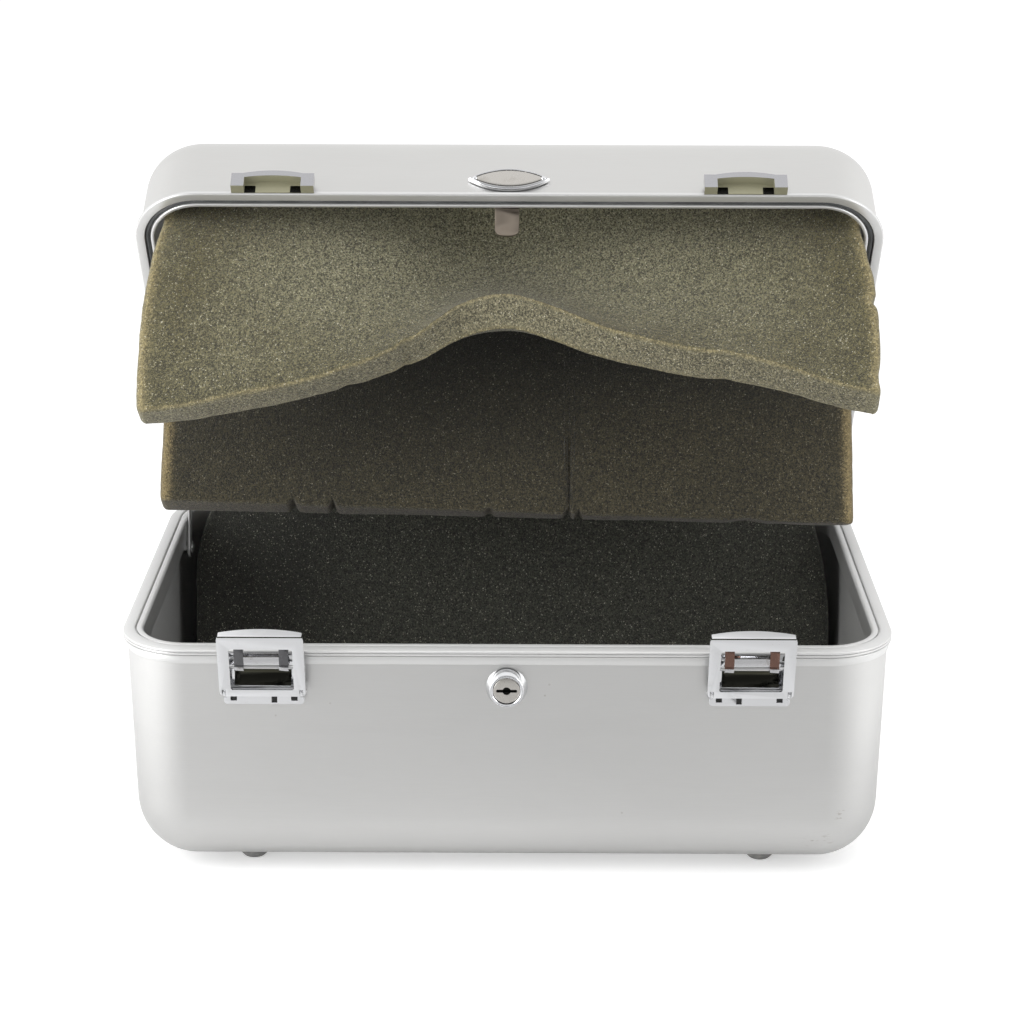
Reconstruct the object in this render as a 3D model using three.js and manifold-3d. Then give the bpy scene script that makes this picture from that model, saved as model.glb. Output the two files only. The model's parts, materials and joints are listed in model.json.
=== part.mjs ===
// Aluminium utility case with its lid standing open on a slotted stay and three loose foam slabs
// inside. Millimetres, Z up, the front of the case faces -Y. Pieces are laid out in the frame of
// the closed case, with the front edge of the rim at y = 0 and the parting line at z = 0. The lid
// is then turned about the hinge line, and the whole case is stood on its feet.
import * as THREE from "three";
import { mergeVertices } from "three/addons/utils/BufferGeometryUtils.js";
import Module from "manifold-3d";

const wasm = await Module();
wasm.setup();

// Driving sizes of the case
const caseWidth = 457;
const caseDepth = 288;
const baseHeight = 146;
const lidHeight = 63;
const rimCornerRadius = 41;
const baseEdgeRadius = 38;
const lidEdgeRadius = 28;
const shellWall = 1.8;
const hingeBehindRim = 6;
const lidOpenDegrees = 55.4;

// Clearances
const seatGap = 0.3;
const slideGap = 0.6;
const pinGap = 0.3;
const overrun = 5;

// How finely round shapes are divided
const cornerSteps = 9;
const edgeSteps = 7;
const smallCornerSteps = 4;
const pinSides = 12;
const roundSides = 20;
const fineSides = 28;

const radians = THREE.MathUtils.degToRad;
const degrees = THREE.MathUtils.radToDeg;
const hingeY = caseDepth + hingeBehindRim;

const aluminium = { color: 0xcfcfcd, roughness: 0.42, metalness: 0.9 };
const frameAluminium = { color: 0xd9dadb, roughness: 0.3, metalness: 0.95 };
const chrome = { color: 0xe4e5e8, roughness: 0.12, metalness: 1 };
const steel = { color: 0xb9b8b4, roughness: 0.3, metalness: 0.9 };
const nickel = { color: 0xc9c0ae, roughness: 0.28, metalness: 0.95 };
const sealRubber = { color: 0x6f7376, roughness: 0.7, metalness: 0 };
const footRubber = { color: 0x8d8d8b, roughness: 0.75, metalness: 0 };
const gripPlastic = { color: 0x1d1d1e, roughness: 0.55, metalness: 0 };
const foam = { color: 0x6d6a4c, roughness: 0.95, metalness: 0 };
const darkFoam = { color: 0x34352a, roughness: 0.95, metalness: 0 };

// A closed geometry as a solid that can be joined and cut, with its faces turned out.
function solidOf(geometry) {
  geometry.deleteAttribute("normal");
  geometry.deleteAttribute("uv");
  const merged = mergeVertices(geometry);
  const build = (triVerts) =>
    new wasm.Manifold(
      new wasm.Mesh({
        numProp: 3,
        vertProperties: merged.attributes.position.array,
        triVerts,
      }),
    );
  const faces = new Uint32Array(merged.index.array);
  const solid = build(faces);
  return solid.volume() > 0 ? solid : build(faces.slice().reverse());
}

// A named mesh from a solid.
function meshOf(name, solid, look) {
  const { numProp, vertProperties, triVerts } = solid.getMesh();
  const count = vertProperties.length / numProp;
  const positions = new Float32Array(count * 3);
  for (let i = 0; i < count; i++) {
    positions.set(vertProperties.subarray(i * numProp, i * numProp + 3), i * 3);
  }
  const indexed = new THREE.BufferGeometry();
  indexed.setAttribute("position", new THREE.BufferAttribute(positions, 3));
  indexed.setIndex(new THREE.BufferAttribute(new Uint32Array(triVerts), 1));
  const geometry = indexed.toNonIndexed();
  geometry.computeVertexNormals();
  const mesh = new THREE.Mesh(geometry, new THREE.MeshStandardMaterial(look));
  mesh.name = name;
  return mesh;
}

function joined(solids) {
  return solids.reduce((whole, solid) => whole.add(solid));
}

function cutBy(solid, cutters) {
  return cutters.reduce((rest, cutter) => rest.subtract(cutter), solid);
}

// Points on an arc, from one angle in degrees to another.
function arc([a, b], radius, from, to, steps) {
  return Array.from({ length: steps + 1 }, (_, k) => {
    const angle = radians(from + ((to - from) * k) / steps);
    return [a + radius * Math.cos(angle), b + radius * Math.sin(angle)];
  });
}

// The outline of a rectangle with round corners.
function roundedBox(width, height, radius, [a, b] = [0, 0], steps = smallCornerSteps) {
  const [reachA, reachB] = [width / 2 - radius, height / 2 - radius];
  return [
    [1, -1, -90],
    [1, 1, 0],
    [-1, 1, 90],
    [-1, -1, 180],
  ].flatMap(([signA, signB, start]) =>
    arc([a + signA * reachA, b + signB * reachB], radius, start, start + 90, steps),
  );
}

function rectangle(width, height, [a, b]) {
  const [reachA, reachB] = [width / 2, height / 2];
  return [
    [a - reachA, b - reachB],
    [a + reachA, b - reachB],
    [a + reachA, b + reachB],
    [a - reachA, b + reachB],
  ];
}

// A solid through closed rings of as many points each, capped unless the last meets the first.
function loft(rings, isLoop = false) {
  const count = rings[0].length;
  const faces = [];
  const last = isLoop ? rings.length : rings.length - 1;
  for (let i = 0; i < last; i++) {
    const here = i * count;
    const next = ((i + 1) % rings.length) * count;
    for (let k = 0; k < count; k++) {
      const m = (k + 1) % count;
      faces.push(here + k, here + m, next + m, here + k, next + m, next + k);
    }
  }
  const top = last * count;
  for (let k = 1; !isLoop && k < count - 1; k++) {
    faces.push(0, k + 1, k, top, top + k, top + k + 1);
  }
  const geometry = new THREE.BufferGeometry();
  geometry.setAttribute("position", new THREE.Float32BufferAttribute(rings.flat(2), 3));
  geometry.setIndex(faces);
  return solidOf(geometry);
}

function extruded(outline, depth, holes) {
  const vectors = (points) => points.map(([a, b]) => new THREE.Vector2(a, b));
  const shape = new THREE.Shape(vectors(outline));
  shape.holes = holes.map((hole) => new THREE.Path(vectors(hole)));
  return new THREE.ExtrudeGeometry(shape, { depth, bevelEnabled: false });
}

const alongXFrame = new THREE.Matrix4().makeBasis(
  new THREE.Vector3(0, 1, 0),
  new THREE.Vector3(0, 0, 1),
  new THREE.Vector3(1, 0, 0),
);
const alongYFrame = new THREE.Matrix4().makeBasis(
  new THREE.Vector3(1, 0, 0),
  new THREE.Vector3(0, 0, 1),
  new THREE.Vector3(0, -1, 0),
);

// A flat outline in Y and Z, stretched along X.
function alongX(outline, fromX, toX, holes = []) {
  const geometry = extruded(outline, toX - fromX, holes).applyMatrix4(alongXFrame);
  return solidOf(geometry.translate(fromX, 0, 0));
}

// A flat outline in X and Z, stretched along Y.
function alongY(outline, fromY, toY, holes = []) {
  const geometry = extruded(outline, toY - fromY, holes).applyMatrix4(alongYFrame);
  return solidOf(geometry.translate(0, toY, 0));
}

// A flat outline in X and Y, stretched along Z.
function alongZ(outline, fromZ, toZ, holes = []) {
  return solidOf(extruded(outline, toZ - fromZ, holes).translate(0, 0, fromZ));
}

function block(fromX, toX, fromY, toY, fromZ, toZ) {
  const geometry = new THREE.BoxGeometry(toX - fromX, toY - fromY, toZ - fromZ);
  return solidOf(geometry.translate((fromX + toX) / 2, (fromY + toY) / 2, (fromZ + toZ) / 2));
}

// A round bar on the X axis through a place in Y and Z.
function barX(radius, fromX, toX, y, z, sides = pinSides) {
  const geometry = new THREE.CylinderGeometry(radius, radius, toX - fromX, sides);
  return solidOf(geometry.rotateZ(Math.PI / 2).translate((fromX + toX) / 2, y, z));
}

function barY(radius, fromY, toY, x, z, sides = fineSides) {
  const geometry = new THREE.CylinderGeometry(radius, radius, toY - fromY, sides);
  return solidOf(geometry.translate(x, (fromY + toY) / 2, z));
}

// A turned shape from pairs of radius and place along the axis.
function turned(profile, sides) {
  const closed = profile[0][0] === 0 ? profile : [...profile, profile[0]];
  const points = closed.map(([radius, along]) => new THREE.Vector2(radius, along));
  return new THREE.LatheGeometry(points, sides);
}

function turnedX(profile, y, z, sides = roundSides) {
  return solidOf(turned(profile, sides).rotateZ(-Math.PI / 2).translate(0, y, z));
}

function turnedY(profile, x, z, sides = fineSides) {
  return solidOf(turned(profile, sides).translate(x, 0, z));
}

function turnedZ(profile, x, y, sides = roundSides) {
  return solidOf(turned(profile, sides).rotateX(Math.PI / 2).translate(x, y, 0));
}

// The outline in plan of the case, drawn in from the edge of the rim. Where it is drawn in by
// more than the corner radius, the corners stay just round.
const leastCorner = 0.4;

function cornerRadiusAt(inset) {
  return Math.max(rimCornerRadius - inset, leastCorner);
}

function rimRing(inset, z) {
  const width = caseWidth - 2 * inset;
  const depth = caseDepth - 2 * inset;
  const middle = [0, caseDepth / 2];
  const outline = roundedBox(width, depth, cornerRadiusAt(inset), middle, cornerSteps);
  return outline.map(([x, y]) => [x, y, z]);
}

// Half the width inside a drawn-in outline, at a place in Y.
function halfWidthInside(inset, y) {
  const radius = cornerRadiusAt(inset);
  const fromEdge = Math.min(y, caseDepth - y) - inset;
  const short = Math.max(0, radius - fromEdge);
  const square = Math.max(0, radius * radius - short * short);
  return caseWidth / 2 - inset - radius + Math.sqrt(square);
}

// A section in pairs of inset and height, carried round the rim and closed on itself.
function rimLoop(section) {
  return loft(
    section.map(([inset, z]) => rimRing(inset, z)),
    true,
  );
}

// Drawn shells, each a pan with a slight draft and a large radius into its floor
const baseShellInset = 2.2;
const baseDraft = 0.019;
const lidShellInset = 2.5;
const lidDraft = 0.037;

// Inset and distance from the parting line along a pan, from its edge to its floor.
function panSection(start, height, edgeRadius, inset, draft) {
  const straight = height - edgeRadius;
  const foot = inset + draft * straight;
  const round = arc([foot + edgeRadius, straight], edgeRadius, 180, 90, edgeSteps);
  return [[inset + draft * start, start], ...round];
}

function panShell(start, height, edgeRadius, inset, draft, up) {
  const outside = panSection(start, height, edgeRadius, inset, draft);
  const insideRadius = edgeRadius - shellWall;
  const insideInset = inset + shellWall;
  const inside = panSection(start, height - shellWall, insideRadius, insideInset, draft);
  const section = [...outside.reverse(), ...inside];
  return loft(section.map(([drawnIn, away]) => rimRing(drawnIn, up * away)));
}

// Rim frames, each a bead over the edge of its shell with a flange inside. The base frame has a
// tongue along its inner side, and the lid frame a groove over it that holds the seal.
const beadRound = 0.5;
const baseBeadHeight = 4.4;
const baseBandHeight = 9.6;
const baseBandInset = 1.4;
const lidBeadHeight = 2.6;
const flangeInset = 12;
const flangeWall = 2.2;
const baseFlangeDepth = 16;
const lidFlangeDepth = 17;
const lidWebThickness = 2;
const tongueInset = 7.9;
const tongueRise = 2.5;
const grooveWidth = 0.7;
const grooveDepth = 0.8;
const sealInset = 6.2;
const sealWidth = 2.8;
const sealThickness = 2;
const sealAboveTongue = 0.45;
const lidBeadTop = seatGap + lidBeadHeight;
const sealFace = tongueRise + sealAboveTongue;
const sealBack = sealFace + sealThickness;
const lidWebTop = sealBack + seatGap + lidWebThickness;

function baseFrame() {
  const slotTop = -baseBeadHeight + seatGap;
  const bandInner = baseShellInset - seatGap;
  const flangeOuter = flangeInset - flangeWall;
  return rimLoop([
    [beadRound, 0],
    [0, -beadRound],
    [0, -baseBeadHeight + beadRound],
    [beadRound, -baseBeadHeight],
    [baseBandInset, -baseBeadHeight],
    [baseBandInset, -baseBandHeight],
    [bandInner, -baseBandHeight],
    [bandInner, slotTop],
    [flangeOuter, slotTop],
    [flangeOuter, -baseFlangeDepth],
    [flangeInset, -baseFlangeDepth],
    [flangeInset, tongueRise - beadRound],
    [flangeInset - beadRound, tongueRise],
    [tongueInset, tongueRise],
    [tongueInset, -grooveDepth],
    [tongueInset - grooveWidth, -grooveDepth],
    [tongueInset - grooveWidth, 0],
  ]);
}

function lidFrame() {
  const shellInner = lidShellInset + shellWall + lidDraft * lidWebTop + seatGap;
  const beadInner = sealInset - seatGap;
  const lipOuter = sealInset + sealWidth + seatGap;
  return rimLoop([
    [beadRound, seatGap],
    [0, seatGap + beadRound],
    [0, lidBeadTop - beadRound],
    [beadRound, lidBeadTop],
    [shellInner, lidBeadTop],
    [shellInner, lidWebTop],
    [flangeInset - flangeWall, lidWebTop],
    [flangeInset - flangeWall, lidFlangeDepth],
    [flangeInset, lidFlangeDepth],
    [flangeInset, sealFace],
    [lipOuter, sealFace],
    [lipOuter, sealBack + seatGap],
    [beadInner, sealBack + seatGap],
    [beadInner, seatGap],
  ]);
}

function lidSeal() {
  return rimLoop([
    [sealInset, sealFace],
    [sealInset + sealWidth, sealFace],
    [sealInset + sealWidth, sealBack],
    [sealInset, sealBack],
  ]);
}

function lidShell() {
  const start = lidBeadTop + seatGap;
  return panShell(start, lidHeight, lidEdgeRadius, lidShellInset, lidDraft, 1);
}

// The outer face of the base front at a height, as a place in Y.
function baseFrontAt(z) {
  return baseShellInset - baseDraft * z;
}

// Two tangents from a foot to a round eye, in Y and Z, with the eye's arc between them.
const eyeSteps = 10;

function eyeOutline(footA, footB, centre, radius) {
  const touch = ([a, b], hand) => {
    const [da, db] = [a - centre[0], b - centre[1]];
    const lean = Math.acos(radius / Math.hypot(da, db));
    return degrees(Math.atan2(db, da) + hand * lean);
  };
  const from = touch(footA, 1);
  let to = touch(footB, -1);
  while (to < from) to += 360;
  return [footA, ...arc(centre, radius, from, to, eyeSteps), footB];
}

// Draw latches on the base front: a plate with cheeks and a scooped dish, a lever with a window,
// and a pair of claws on a link. Sizes of the lever are from its pin, with the latch shut.
const latchFromEnd = 87;
const latchOffset = caseWidth / 2 - latchFromEnd;
const latchPlate = { halfWidth: 23.5, top: -2, bottom: -33.7, thickness: 1.5, corner: 2 };
const latchPlateFace = -seatGap - latchPlate.thickness;
const latchPad = { inner: 9, outer: 21, top: -11, bottom: -31 };
const latchPin = { radius: 1.4, y: -5, z: -24.5, halfLength: 25.4 };
const cheek = { outer: 23.2, thickness: 1.5, radius: 3, top: -12, bottom: -30.5 };
const dish = { radius: 9, thickness: 1.4, halfWidth: 16.5, z: -12.5, from: 14, to: -57, steps: 7 };
const stripHole = { offset: 17.7, width: 3.8, height: 3, z: -30 };
const stripSlot = { offset: 6, width: 3.4, height: 5.4, armLength: 4.5, armHeight: 1.5 };
const lever = { halfWidth: 25, bottom: -1, top: 41.1, back: -2.1, thickness: 1.5, corner: 3 };
const leverFace = lever.back - lever.thickness;
const leverWindow = { halfWidth: 18.3, bottom: 3.4, top: 31.9, corner: 1.5 };
const leverCap = { halfWidth: 24, ends: 0.2, middle: 3.9, thickness: 1.6, steps: 10 };
const leverSide = { thickness: 1.4, heel: 2.7, heelTop: 4, eye: 2.3, eyeTop: 20, top: 24.9 };
const leverRestDegrees = 13;
const clawPin = { radius: 1.2, y: -0.2, z: 17.5, halfLength: 25 };
const claw = { offset: 13, width: 5.4, knuckle: 2.5, thickness: 1.5, height: 12.6, reach: 3.8 };
const clawTip = { inner: 9.6, drop: 1.3 };
const clawLink = { bottom: 2.8, top: 7.4 };

// The holes along the foot of the plate: a square one at each end, and an L between.
function plateHoles(side) {
  const slotX = -side * stripSlot.offset;
  const slotTop = stripHole.z + stripSlot.height / 2;
  const slotFoot = slotTop - stripSlot.height;
  const edge = slotX + (side * stripSlot.width) / 2;
  const inner = slotX - (side * stripSlot.width) / 2;
  const far = inner - side * stripSlot.armLength;
  return [
    rectangle(stripHole.width, stripHole.height, [-stripHole.offset, stripHole.z]),
    rectangle(stripHole.width, stripHole.height, [stripHole.offset, stripHole.z]),
    [
      [edge, slotFoot],
      [edge, slotTop],
      [far, slotTop],
      [far, slotTop - stripSlot.armHeight],
      [inner, slotTop - stripSlot.armHeight],
      [inner, slotFoot],
    ],
  ];
}

function dishSolid() {
  const bottomY = latchPlateFace + dish.thickness / 2;
  const centre = [bottomY - dish.thickness - dish.radius, dish.z];
  const hollow = arc(centre, dish.radius, dish.from, dish.to, dish.steps);
  const back = arc(centre, dish.radius + dish.thickness, dish.to, dish.from, dish.steps);
  return alongX([...hollow, ...back], -dish.halfWidth, dish.halfWidth);
}

function betweenX(outline, inner, outer, hand, holes = []) {
  const [a, b] = [hand * inner, hand * outer];
  return alongX(outline, Math.min(a, b), Math.max(a, b), holes);
}

function latchPlateSolid(side) {
  const height = latchPlate.top - latchPlate.bottom;
  const middle = [0, (latchPlate.top + latchPlate.bottom) / 2];
  const outline = roundedBox(2 * latchPlate.halfWidth, height, latchPlate.corner, middle);
  const sunk = latchPlateFace + latchPlate.thickness / 2;
  const eye = eyeOutline(
    [sunk, cheek.top],
    [sunk, cheek.bottom],
    [latchPin.y, latchPin.z],
    cheek.radius,
  );
  const padBack = baseFrontAt(latchPad.top) - seatGap;
  const hands = [-1, 1].flatMap((hand) => {
    const [a, b] = [hand * latchPad.inner, hand * latchPad.outer];
    return [
      betweenX(eye, cheek.outer - cheek.thickness, cheek.outer, hand),
      block(Math.min(a, b), Math.max(a, b), sunk, padBack, latchPad.bottom, latchPad.top),
    ];
  });
  const plate = alongY(outline, latchPlateFace, -seatGap, plateHoles(side));
  const reach = latchPin.halfLength;
  const hole = barX(latchPin.radius + pinGap, -reach, reach, latchPin.y, latchPin.z);
  return joined([plate, dishSolid(), ...hands]).subtract(hole);
}

// The bowed flange along the top of the lever, in plan.
function leverCapSolid() {
  const { halfWidth, ends, middle, thickness, steps } = leverCap;
  const bow = Array.from({ length: steps + 1 }, (_, k) => {
    const share = 1 - (2 * k) / steps;
    return [halfWidth * share, middle + (ends - middle) * share * share];
  });
  const front = [
    [-halfWidth, leverFace],
    [halfWidth, leverFace],
  ];
  return alongZ([...front, ...bow], lever.top - thickness, lever.top);
}

function leverSolid() {
  const middle = [0, (lever.top + lever.bottom) / 2];
  const height = lever.top - lever.bottom;
  const outline = roundedBox(2 * lever.halfWidth, height, lever.corner, middle);
  const windowMiddle = [0, (leverWindow.top + leverWindow.bottom) / 2];
  const windowHeight = leverWindow.top - leverWindow.bottom;
  const { halfWidth, corner } = leverWindow;
  const windowHole = roundedBox(2 * halfWidth, windowHeight, corner, windowMiddle);
  const sideOutline = [
    [leverFace, lever.bottom + lever.corner],
    [lever.back, lever.bottom],
    [0, -leverSide.heel],
    [leverSide.heel, 0],
    [leverSide.heel, leverSide.heelTop],
    [leverSide.eye, leverSide.eyeTop],
    [lever.back, leverSide.top],
    [leverFace, leverSide.top],
  ];
  const inner = lever.halfWidth - leverSide.thickness;
  const sides = [-1, 1].map((hand) => betweenX(sideOutline, inner, lever.halfWidth, hand));
  const body = joined([
    alongY(outline, leverFace, lever.back, [windowHole]),
    leverCapSolid(),
    ...sides,
  ]);
  const reach = lever.halfWidth + overrun;
  const clear = cheek.radius + slideGap;
  const foot = lever.bottom - overrun;
  const notchInner = cheek.outer - cheek.thickness - seatGap;
  const notches = [-1, 1].map((hand) => {
    const [a, b] = [hand * notchInner, hand * inner];
    return block(Math.min(a, b), Math.max(a, b), leverFace - overrun, clear, foot, clear);
  });
  return cutBy(body, [
    ...notches,
    barX(latchPin.radius + pinGap, -reach, reach, 0, 0),
    barX(clawPin.radius + pinGap, -reach, reach, clawPin.y, clawPin.z),
  ]);
}

// Two claws that curl back towards the case, joined by a flat link and hung on the claw pin.
function clawSolid() {
  const front = -claw.knuckle / 2;
  const back = front + claw.thickness;
  const outline = [
    [front, 0],
    [front, claw.height - claw.thickness],
    [front + claw.thickness / 2, claw.height],
    [claw.reach - clawTip.drop, claw.height],
    [claw.reach, claw.height - clawTip.drop],
    [claw.reach, clawTip.inner],
    [back + claw.thickness / 2, clawTip.inner],
    [back, clawTip.inner - claw.thickness],
    [back, 0],
  ];
  const arms = [-1, 1].flatMap((hand) => {
    const from = hand * claw.offset - claw.width / 2;
    const to = from + claw.width;
    return [alongX(outline, from, to), barX(claw.knuckle, from, to, 0, 0)];
  });
  const link = block(-claw.offset, claw.offset, front, back, clawLink.bottom, clawLink.top);
  const reach = claw.offset + claw.width;
  return joined([...arms, link]).subtract(barX(clawPin.radius + pinGap, -reach, reach, 0, 0));
}

function latch(side) {
  const name = side < 0 ? "left" : "right";
  const { radius, y, z, halfLength } = latchPin;
  const place = new THREE.Group();
  place.position.x = side * latchOffset;
  place.add(meshOf(`latch_plate_${name}`, latchPlateSolid(side), chrome));
  place.add(meshOf(`latch_pin_${name}`, barX(radius, -halfLength, halfLength, y, z), steel));

  const leverGroup = new THREE.Group();
  leverGroup.position.set(0, y, z);
  leverGroup.rotation.x = radians(leverRestDegrees);
  leverGroup.add(meshOf(`latch_lever_${name}`, leverSolid(), chrome));
  const reach = clawPin.halfLength;
  const pin = barX(clawPin.radius, -reach, reach, clawPin.y, clawPin.z);
  leverGroup.add(meshOf(`claw_pin_${name}`, pin, steel));

  const claws = meshOf(`latch_claw_${name}`, clawSolid(), chrome);
  claws.position.set(0, clawPin.y, clawPin.z);
  leverGroup.add(claws);
  place.add(leverGroup);
  return place;
}

// Keepers on the lid front: end blocks and a bowed bar round a recess with two claw pockets
const keeper = { halfWidth: 25.8, bottom: 0.8, height: 13.5, front: -6.5, corner: 1.6 };
const keeperRecess = { halfWidth: 17.3, face: -2.6, top: 11.4, bow: 1.6, steps: 8 };
const keeperPocket = { width: 6.8, bottom: 2.2, top: 7.4 };
const keeperPad = { inner: 5, outer: 21, bottom: 3.6, top: 12.5 };

function keeperSolid() {
  const middle = [0, keeper.bottom + keeper.height / 2];
  const outline = roundedBox(2 * keeper.halfWidth, keeper.height, keeper.corner, middle);
  const { halfWidth, face, top, bow, steps } = keeperRecess;
  const arch = Array.from({ length: steps + 1 }, (_, k) => {
    const share = 1 - (2 * k) / steps;
    return [halfWidth * share, top + bow * (1 - share * share)];
  });
  const low = keeper.bottom - overrun;
  const recess = alongY([[-halfWidth, low], [halfWidth, low], ...arch], keeper.front - overrun, face);
  const pockets = [-1, 1].map((hand) => {
    const from = hand * claw.offset - keeperPocket.width / 2;
    const to = from + keeperPocket.width;
    return block(from, to, face - overrun, overrun, keeperPocket.bottom, keeperPocket.top);
  });
  const padBack = lidShellInset + lidDraft * keeperPad.bottom - seatGap;
  const pads = [-1, 1].map((hand) => {
    const [a, b] = [hand * keeperPad.inner, hand * keeperPad.outer];
    const { bottom, top: padTop } = keeperPad;
    return block(Math.min(a, b), Math.max(a, b), face / 2, padBack, bottom, padTop);
  });
  const body = cutBy(alongY(outline, keeper.front, -seatGap), [recess]);
  return cutBy(joined([body, ...pads]), pockets);
}

// Cam lock in the middle of the base front
const lock = { z: -24, collarRadius: 12.2, collarEdge: 0.8, faceRadius: 9.5, face: -4.7 };
const lockBore = { face: 7.7, faceDepth: 3.7, plug: 5.3, threadRadius: 8, threadEnd: 9.4 };
const lockBevel = 0.5;
const lockNut = { radius: 11.5, thickness: 2.4, sides: 6 };
const lockPlug = { set: 0.5, tailRadius: 3.4, tailStart: 12, tailEnd: 16.4 };
const lockStub = { radius: 2.2, length: 2.2 };
const lockCam = { hubRadius: 5, tipRadius: 3.4, length: 11, thickness: 1.5 };
const keyway = { width: 9.6, height: 1.5, depth: 2.6, centreRadius: 2.3, centreDepth: 1.1 };

function lockHousing() {
  const seat = baseFrontAt(lock.z) - seatGap;
  const shoulder = lock.face + lockBore.faceDepth;
  return turnedY(
    [
      [lock.collarRadius, seat],
      [lock.collarRadius, seat - lock.collarEdge],
      [lock.faceRadius + lockBevel, lock.face + lockBevel],
      [lock.faceRadius, lock.face],
      [lockBore.face, lock.face],
      [lockBore.face, shoulder],
      [lockBore.plug, shoulder],
      [lockBore.plug, lockBore.threadEnd],
      [lockBore.threadRadius, lockBore.threadEnd],
      [lockBore.threadRadius, seat],
    ],
    0,
    lock.z,
  );
}

function lockNutSolid() {
  const start = baseFrontAt(lock.z) + shellWall + seatGap;
  const end = start + lockNut.thickness;
  const hexagon = barY(lockNut.radius, start, end, 0, lock.z, lockNut.sides);
  const bore = lockBore.threadRadius + seatGap;
  return hexagon.subtract(barY(bore, start - overrun, end + overrun, 0, lock.z));
}

function lockCore() {
  const front = lock.face + lockPlug.set;
  const shoulder = lock.face + lockBore.faceDepth - seatGap;
  const disc = lockBore.face - seatGap;
  const plug = lockBore.plug - seatGap;
  const end = lockPlug.tailEnd + lockStub.length;
  const body = turnedY(
    [
      [0, front],
      [disc - lockBevel, front],
      [disc, front + lockBevel],
      [disc, shoulder],
      [plug, shoulder],
      [plug, lockPlug.tailStart],
      [lockPlug.tailRadius, lockPlug.tailStart],
      [lockPlug.tailRadius, lockPlug.tailEnd],
      [lockStub.radius, lockPlug.tailEnd],
      [lockStub.radius, end],
      [0, end],
    ],
    0,
    lock.z,
  );
  const slot = rectangle(keyway.width, keyway.height, [0, lock.z]);
  const outside = front - overrun;
  return cutBy(body, [
    alongY(slot, outside, front + keyway.depth),
    barY(keyway.centreRadius, outside, front + keyway.centreDepth, 0, lock.z),
  ]);
}

// The cam is two round ends with straight sides between them.
function lockCamSolid() {
  const { hubRadius, tipRadius, length, thickness } = lockCam;
  const lean = degrees(Math.acos((hubRadius - tipRadius) / length));
  const hub = arc([0, lock.z], hubRadius, lean, 360 - lean, 2 * eyeSteps);
  const tip = arc([length, lock.z], tipRadius, -lean, lean, eyeSteps);
  const hole = arc([0, lock.z], lockStub.radius + seatGap, 0, 360, roundSides).slice(1);
  const start = lockPlug.tailEnd + seatGap;
  return alongY([...hub, ...tip], start, start + thickness, [hole]);
}

// The tongue that hangs from the lid rim in front of the lock cam
const catchTab = { x: -1.2, width: 14.6, top: 12, bend: -6, slant: 3, bottom: -19, thickness: 1.5 };
const catchSet = 2.3;
const catchCorner = 5;

function catchTabSolid() {
  const front = flangeInset + seatGap;
  const back = front + catchTab.thickness;
  const low = catchTab.bend - catchTab.slant;
  const { x, width, top, bottom } = catchTab;
  const strip = alongX(
    [
      [front, top],
      [front, catchTab.bend],
      [front + catchSet, low],
      [front + catchSet, bottom],
      [back + catchSet, bottom],
      [back + catchSet, low],
      [back, catchTab.bend],
      [back, top],
    ],
    x - width / 2,
    x + width / 2,
  );
  const height = top + catchCorner - bottom;
  const outline = roundedBox(width, height, catchCorner, [x, bottom + height / 2]);
  return strip.intersect(alongY(outline, front - overrun, back + catchSet + overrun));
}

// The blank nameplate: a lens with a domed face
const nameplate = { width: 49, height: 17, z: 14, back: 2.3, edge: 0.5, face: -0.6, bevel: 1.4 };
const lensSteps = 12;

function lens(width, height, z) {
  const radius = (width * width + height * height) / (4 * height);
  const drop = radius - height / 2;
  const spread = degrees(Math.asin(width / 2 / radius));
  const upper = arc([0, z - drop], radius, 90 - spread, 90 + spread, lensSteps);
  const lower = arc([0, z + drop], radius, 270 - spread, 270 + spread, lensSteps);
  return [...upper.slice(0, -1), ...lower.slice(0, -1)];
}

function nameplateSolid() {
  const { width, height, z, back, edge, face, bevel } = nameplate;
  const stations = [
    [back, 0],
    [edge, 0],
    [(edge + face) / 2, bevel / 2],
    [face, 2 * bevel],
  ];
  return loft(
    stations.map(([y, smaller]) =>
      lens(width - 2 * smaller, height - smaller, z).map(([x, up]) => [x, y, up]),
    ),
  );
}

// Rubber feet under the base
const foot = { fromEnd: 73.5, inset: 44, height: 6, topRadius: 9.2, flatRadius: 5.6, crown: 1.6 };

function footSolid(x, y) {
  const top = -baseHeight - seatGap;
  const bottom = -baseHeight - foot.height;
  const profile = [
    [0, top],
    [foot.topRadius, top],
    [foot.topRadius, top - foot.crown],
    [(foot.topRadius + foot.flatRadius) / 2, bottom + foot.crown / 2],
    [foot.flatRadius, bottom],
    [0, bottom],
  ];
  return turnedZ(profile, x, y);
}

function feet() {
  const reach = caseWidth / 2 - foot.fromEnd;
  return [
    ["front_left", -reach, foot.inset],
    ["front_right", reach, foot.inset],
    ["back_left", -reach, caseDepth - foot.inset],
    ["back_right", reach, caseDepth - foot.inset],
  ].map(([name, x, y]) => meshOf(`foot_${name}`, footSolid(x, y), footRubber));
}

// Butt hinges on the back: two leaves with interleaved knuckles on one pin
const hinge = { fromEnd: 88.5, width: 62, knuckles: 5, knuckleRadius: 3.2, pinRadius: 1.5 };
const hingeLeaf = { web: 2, height: 31, joggleRun: 2, sheet: 1.6, gap: 0.4 };
const hingeHead = { radius: 2.6, thickness: 1.2 };
const hingeLidJoggle = 4.4;

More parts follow.
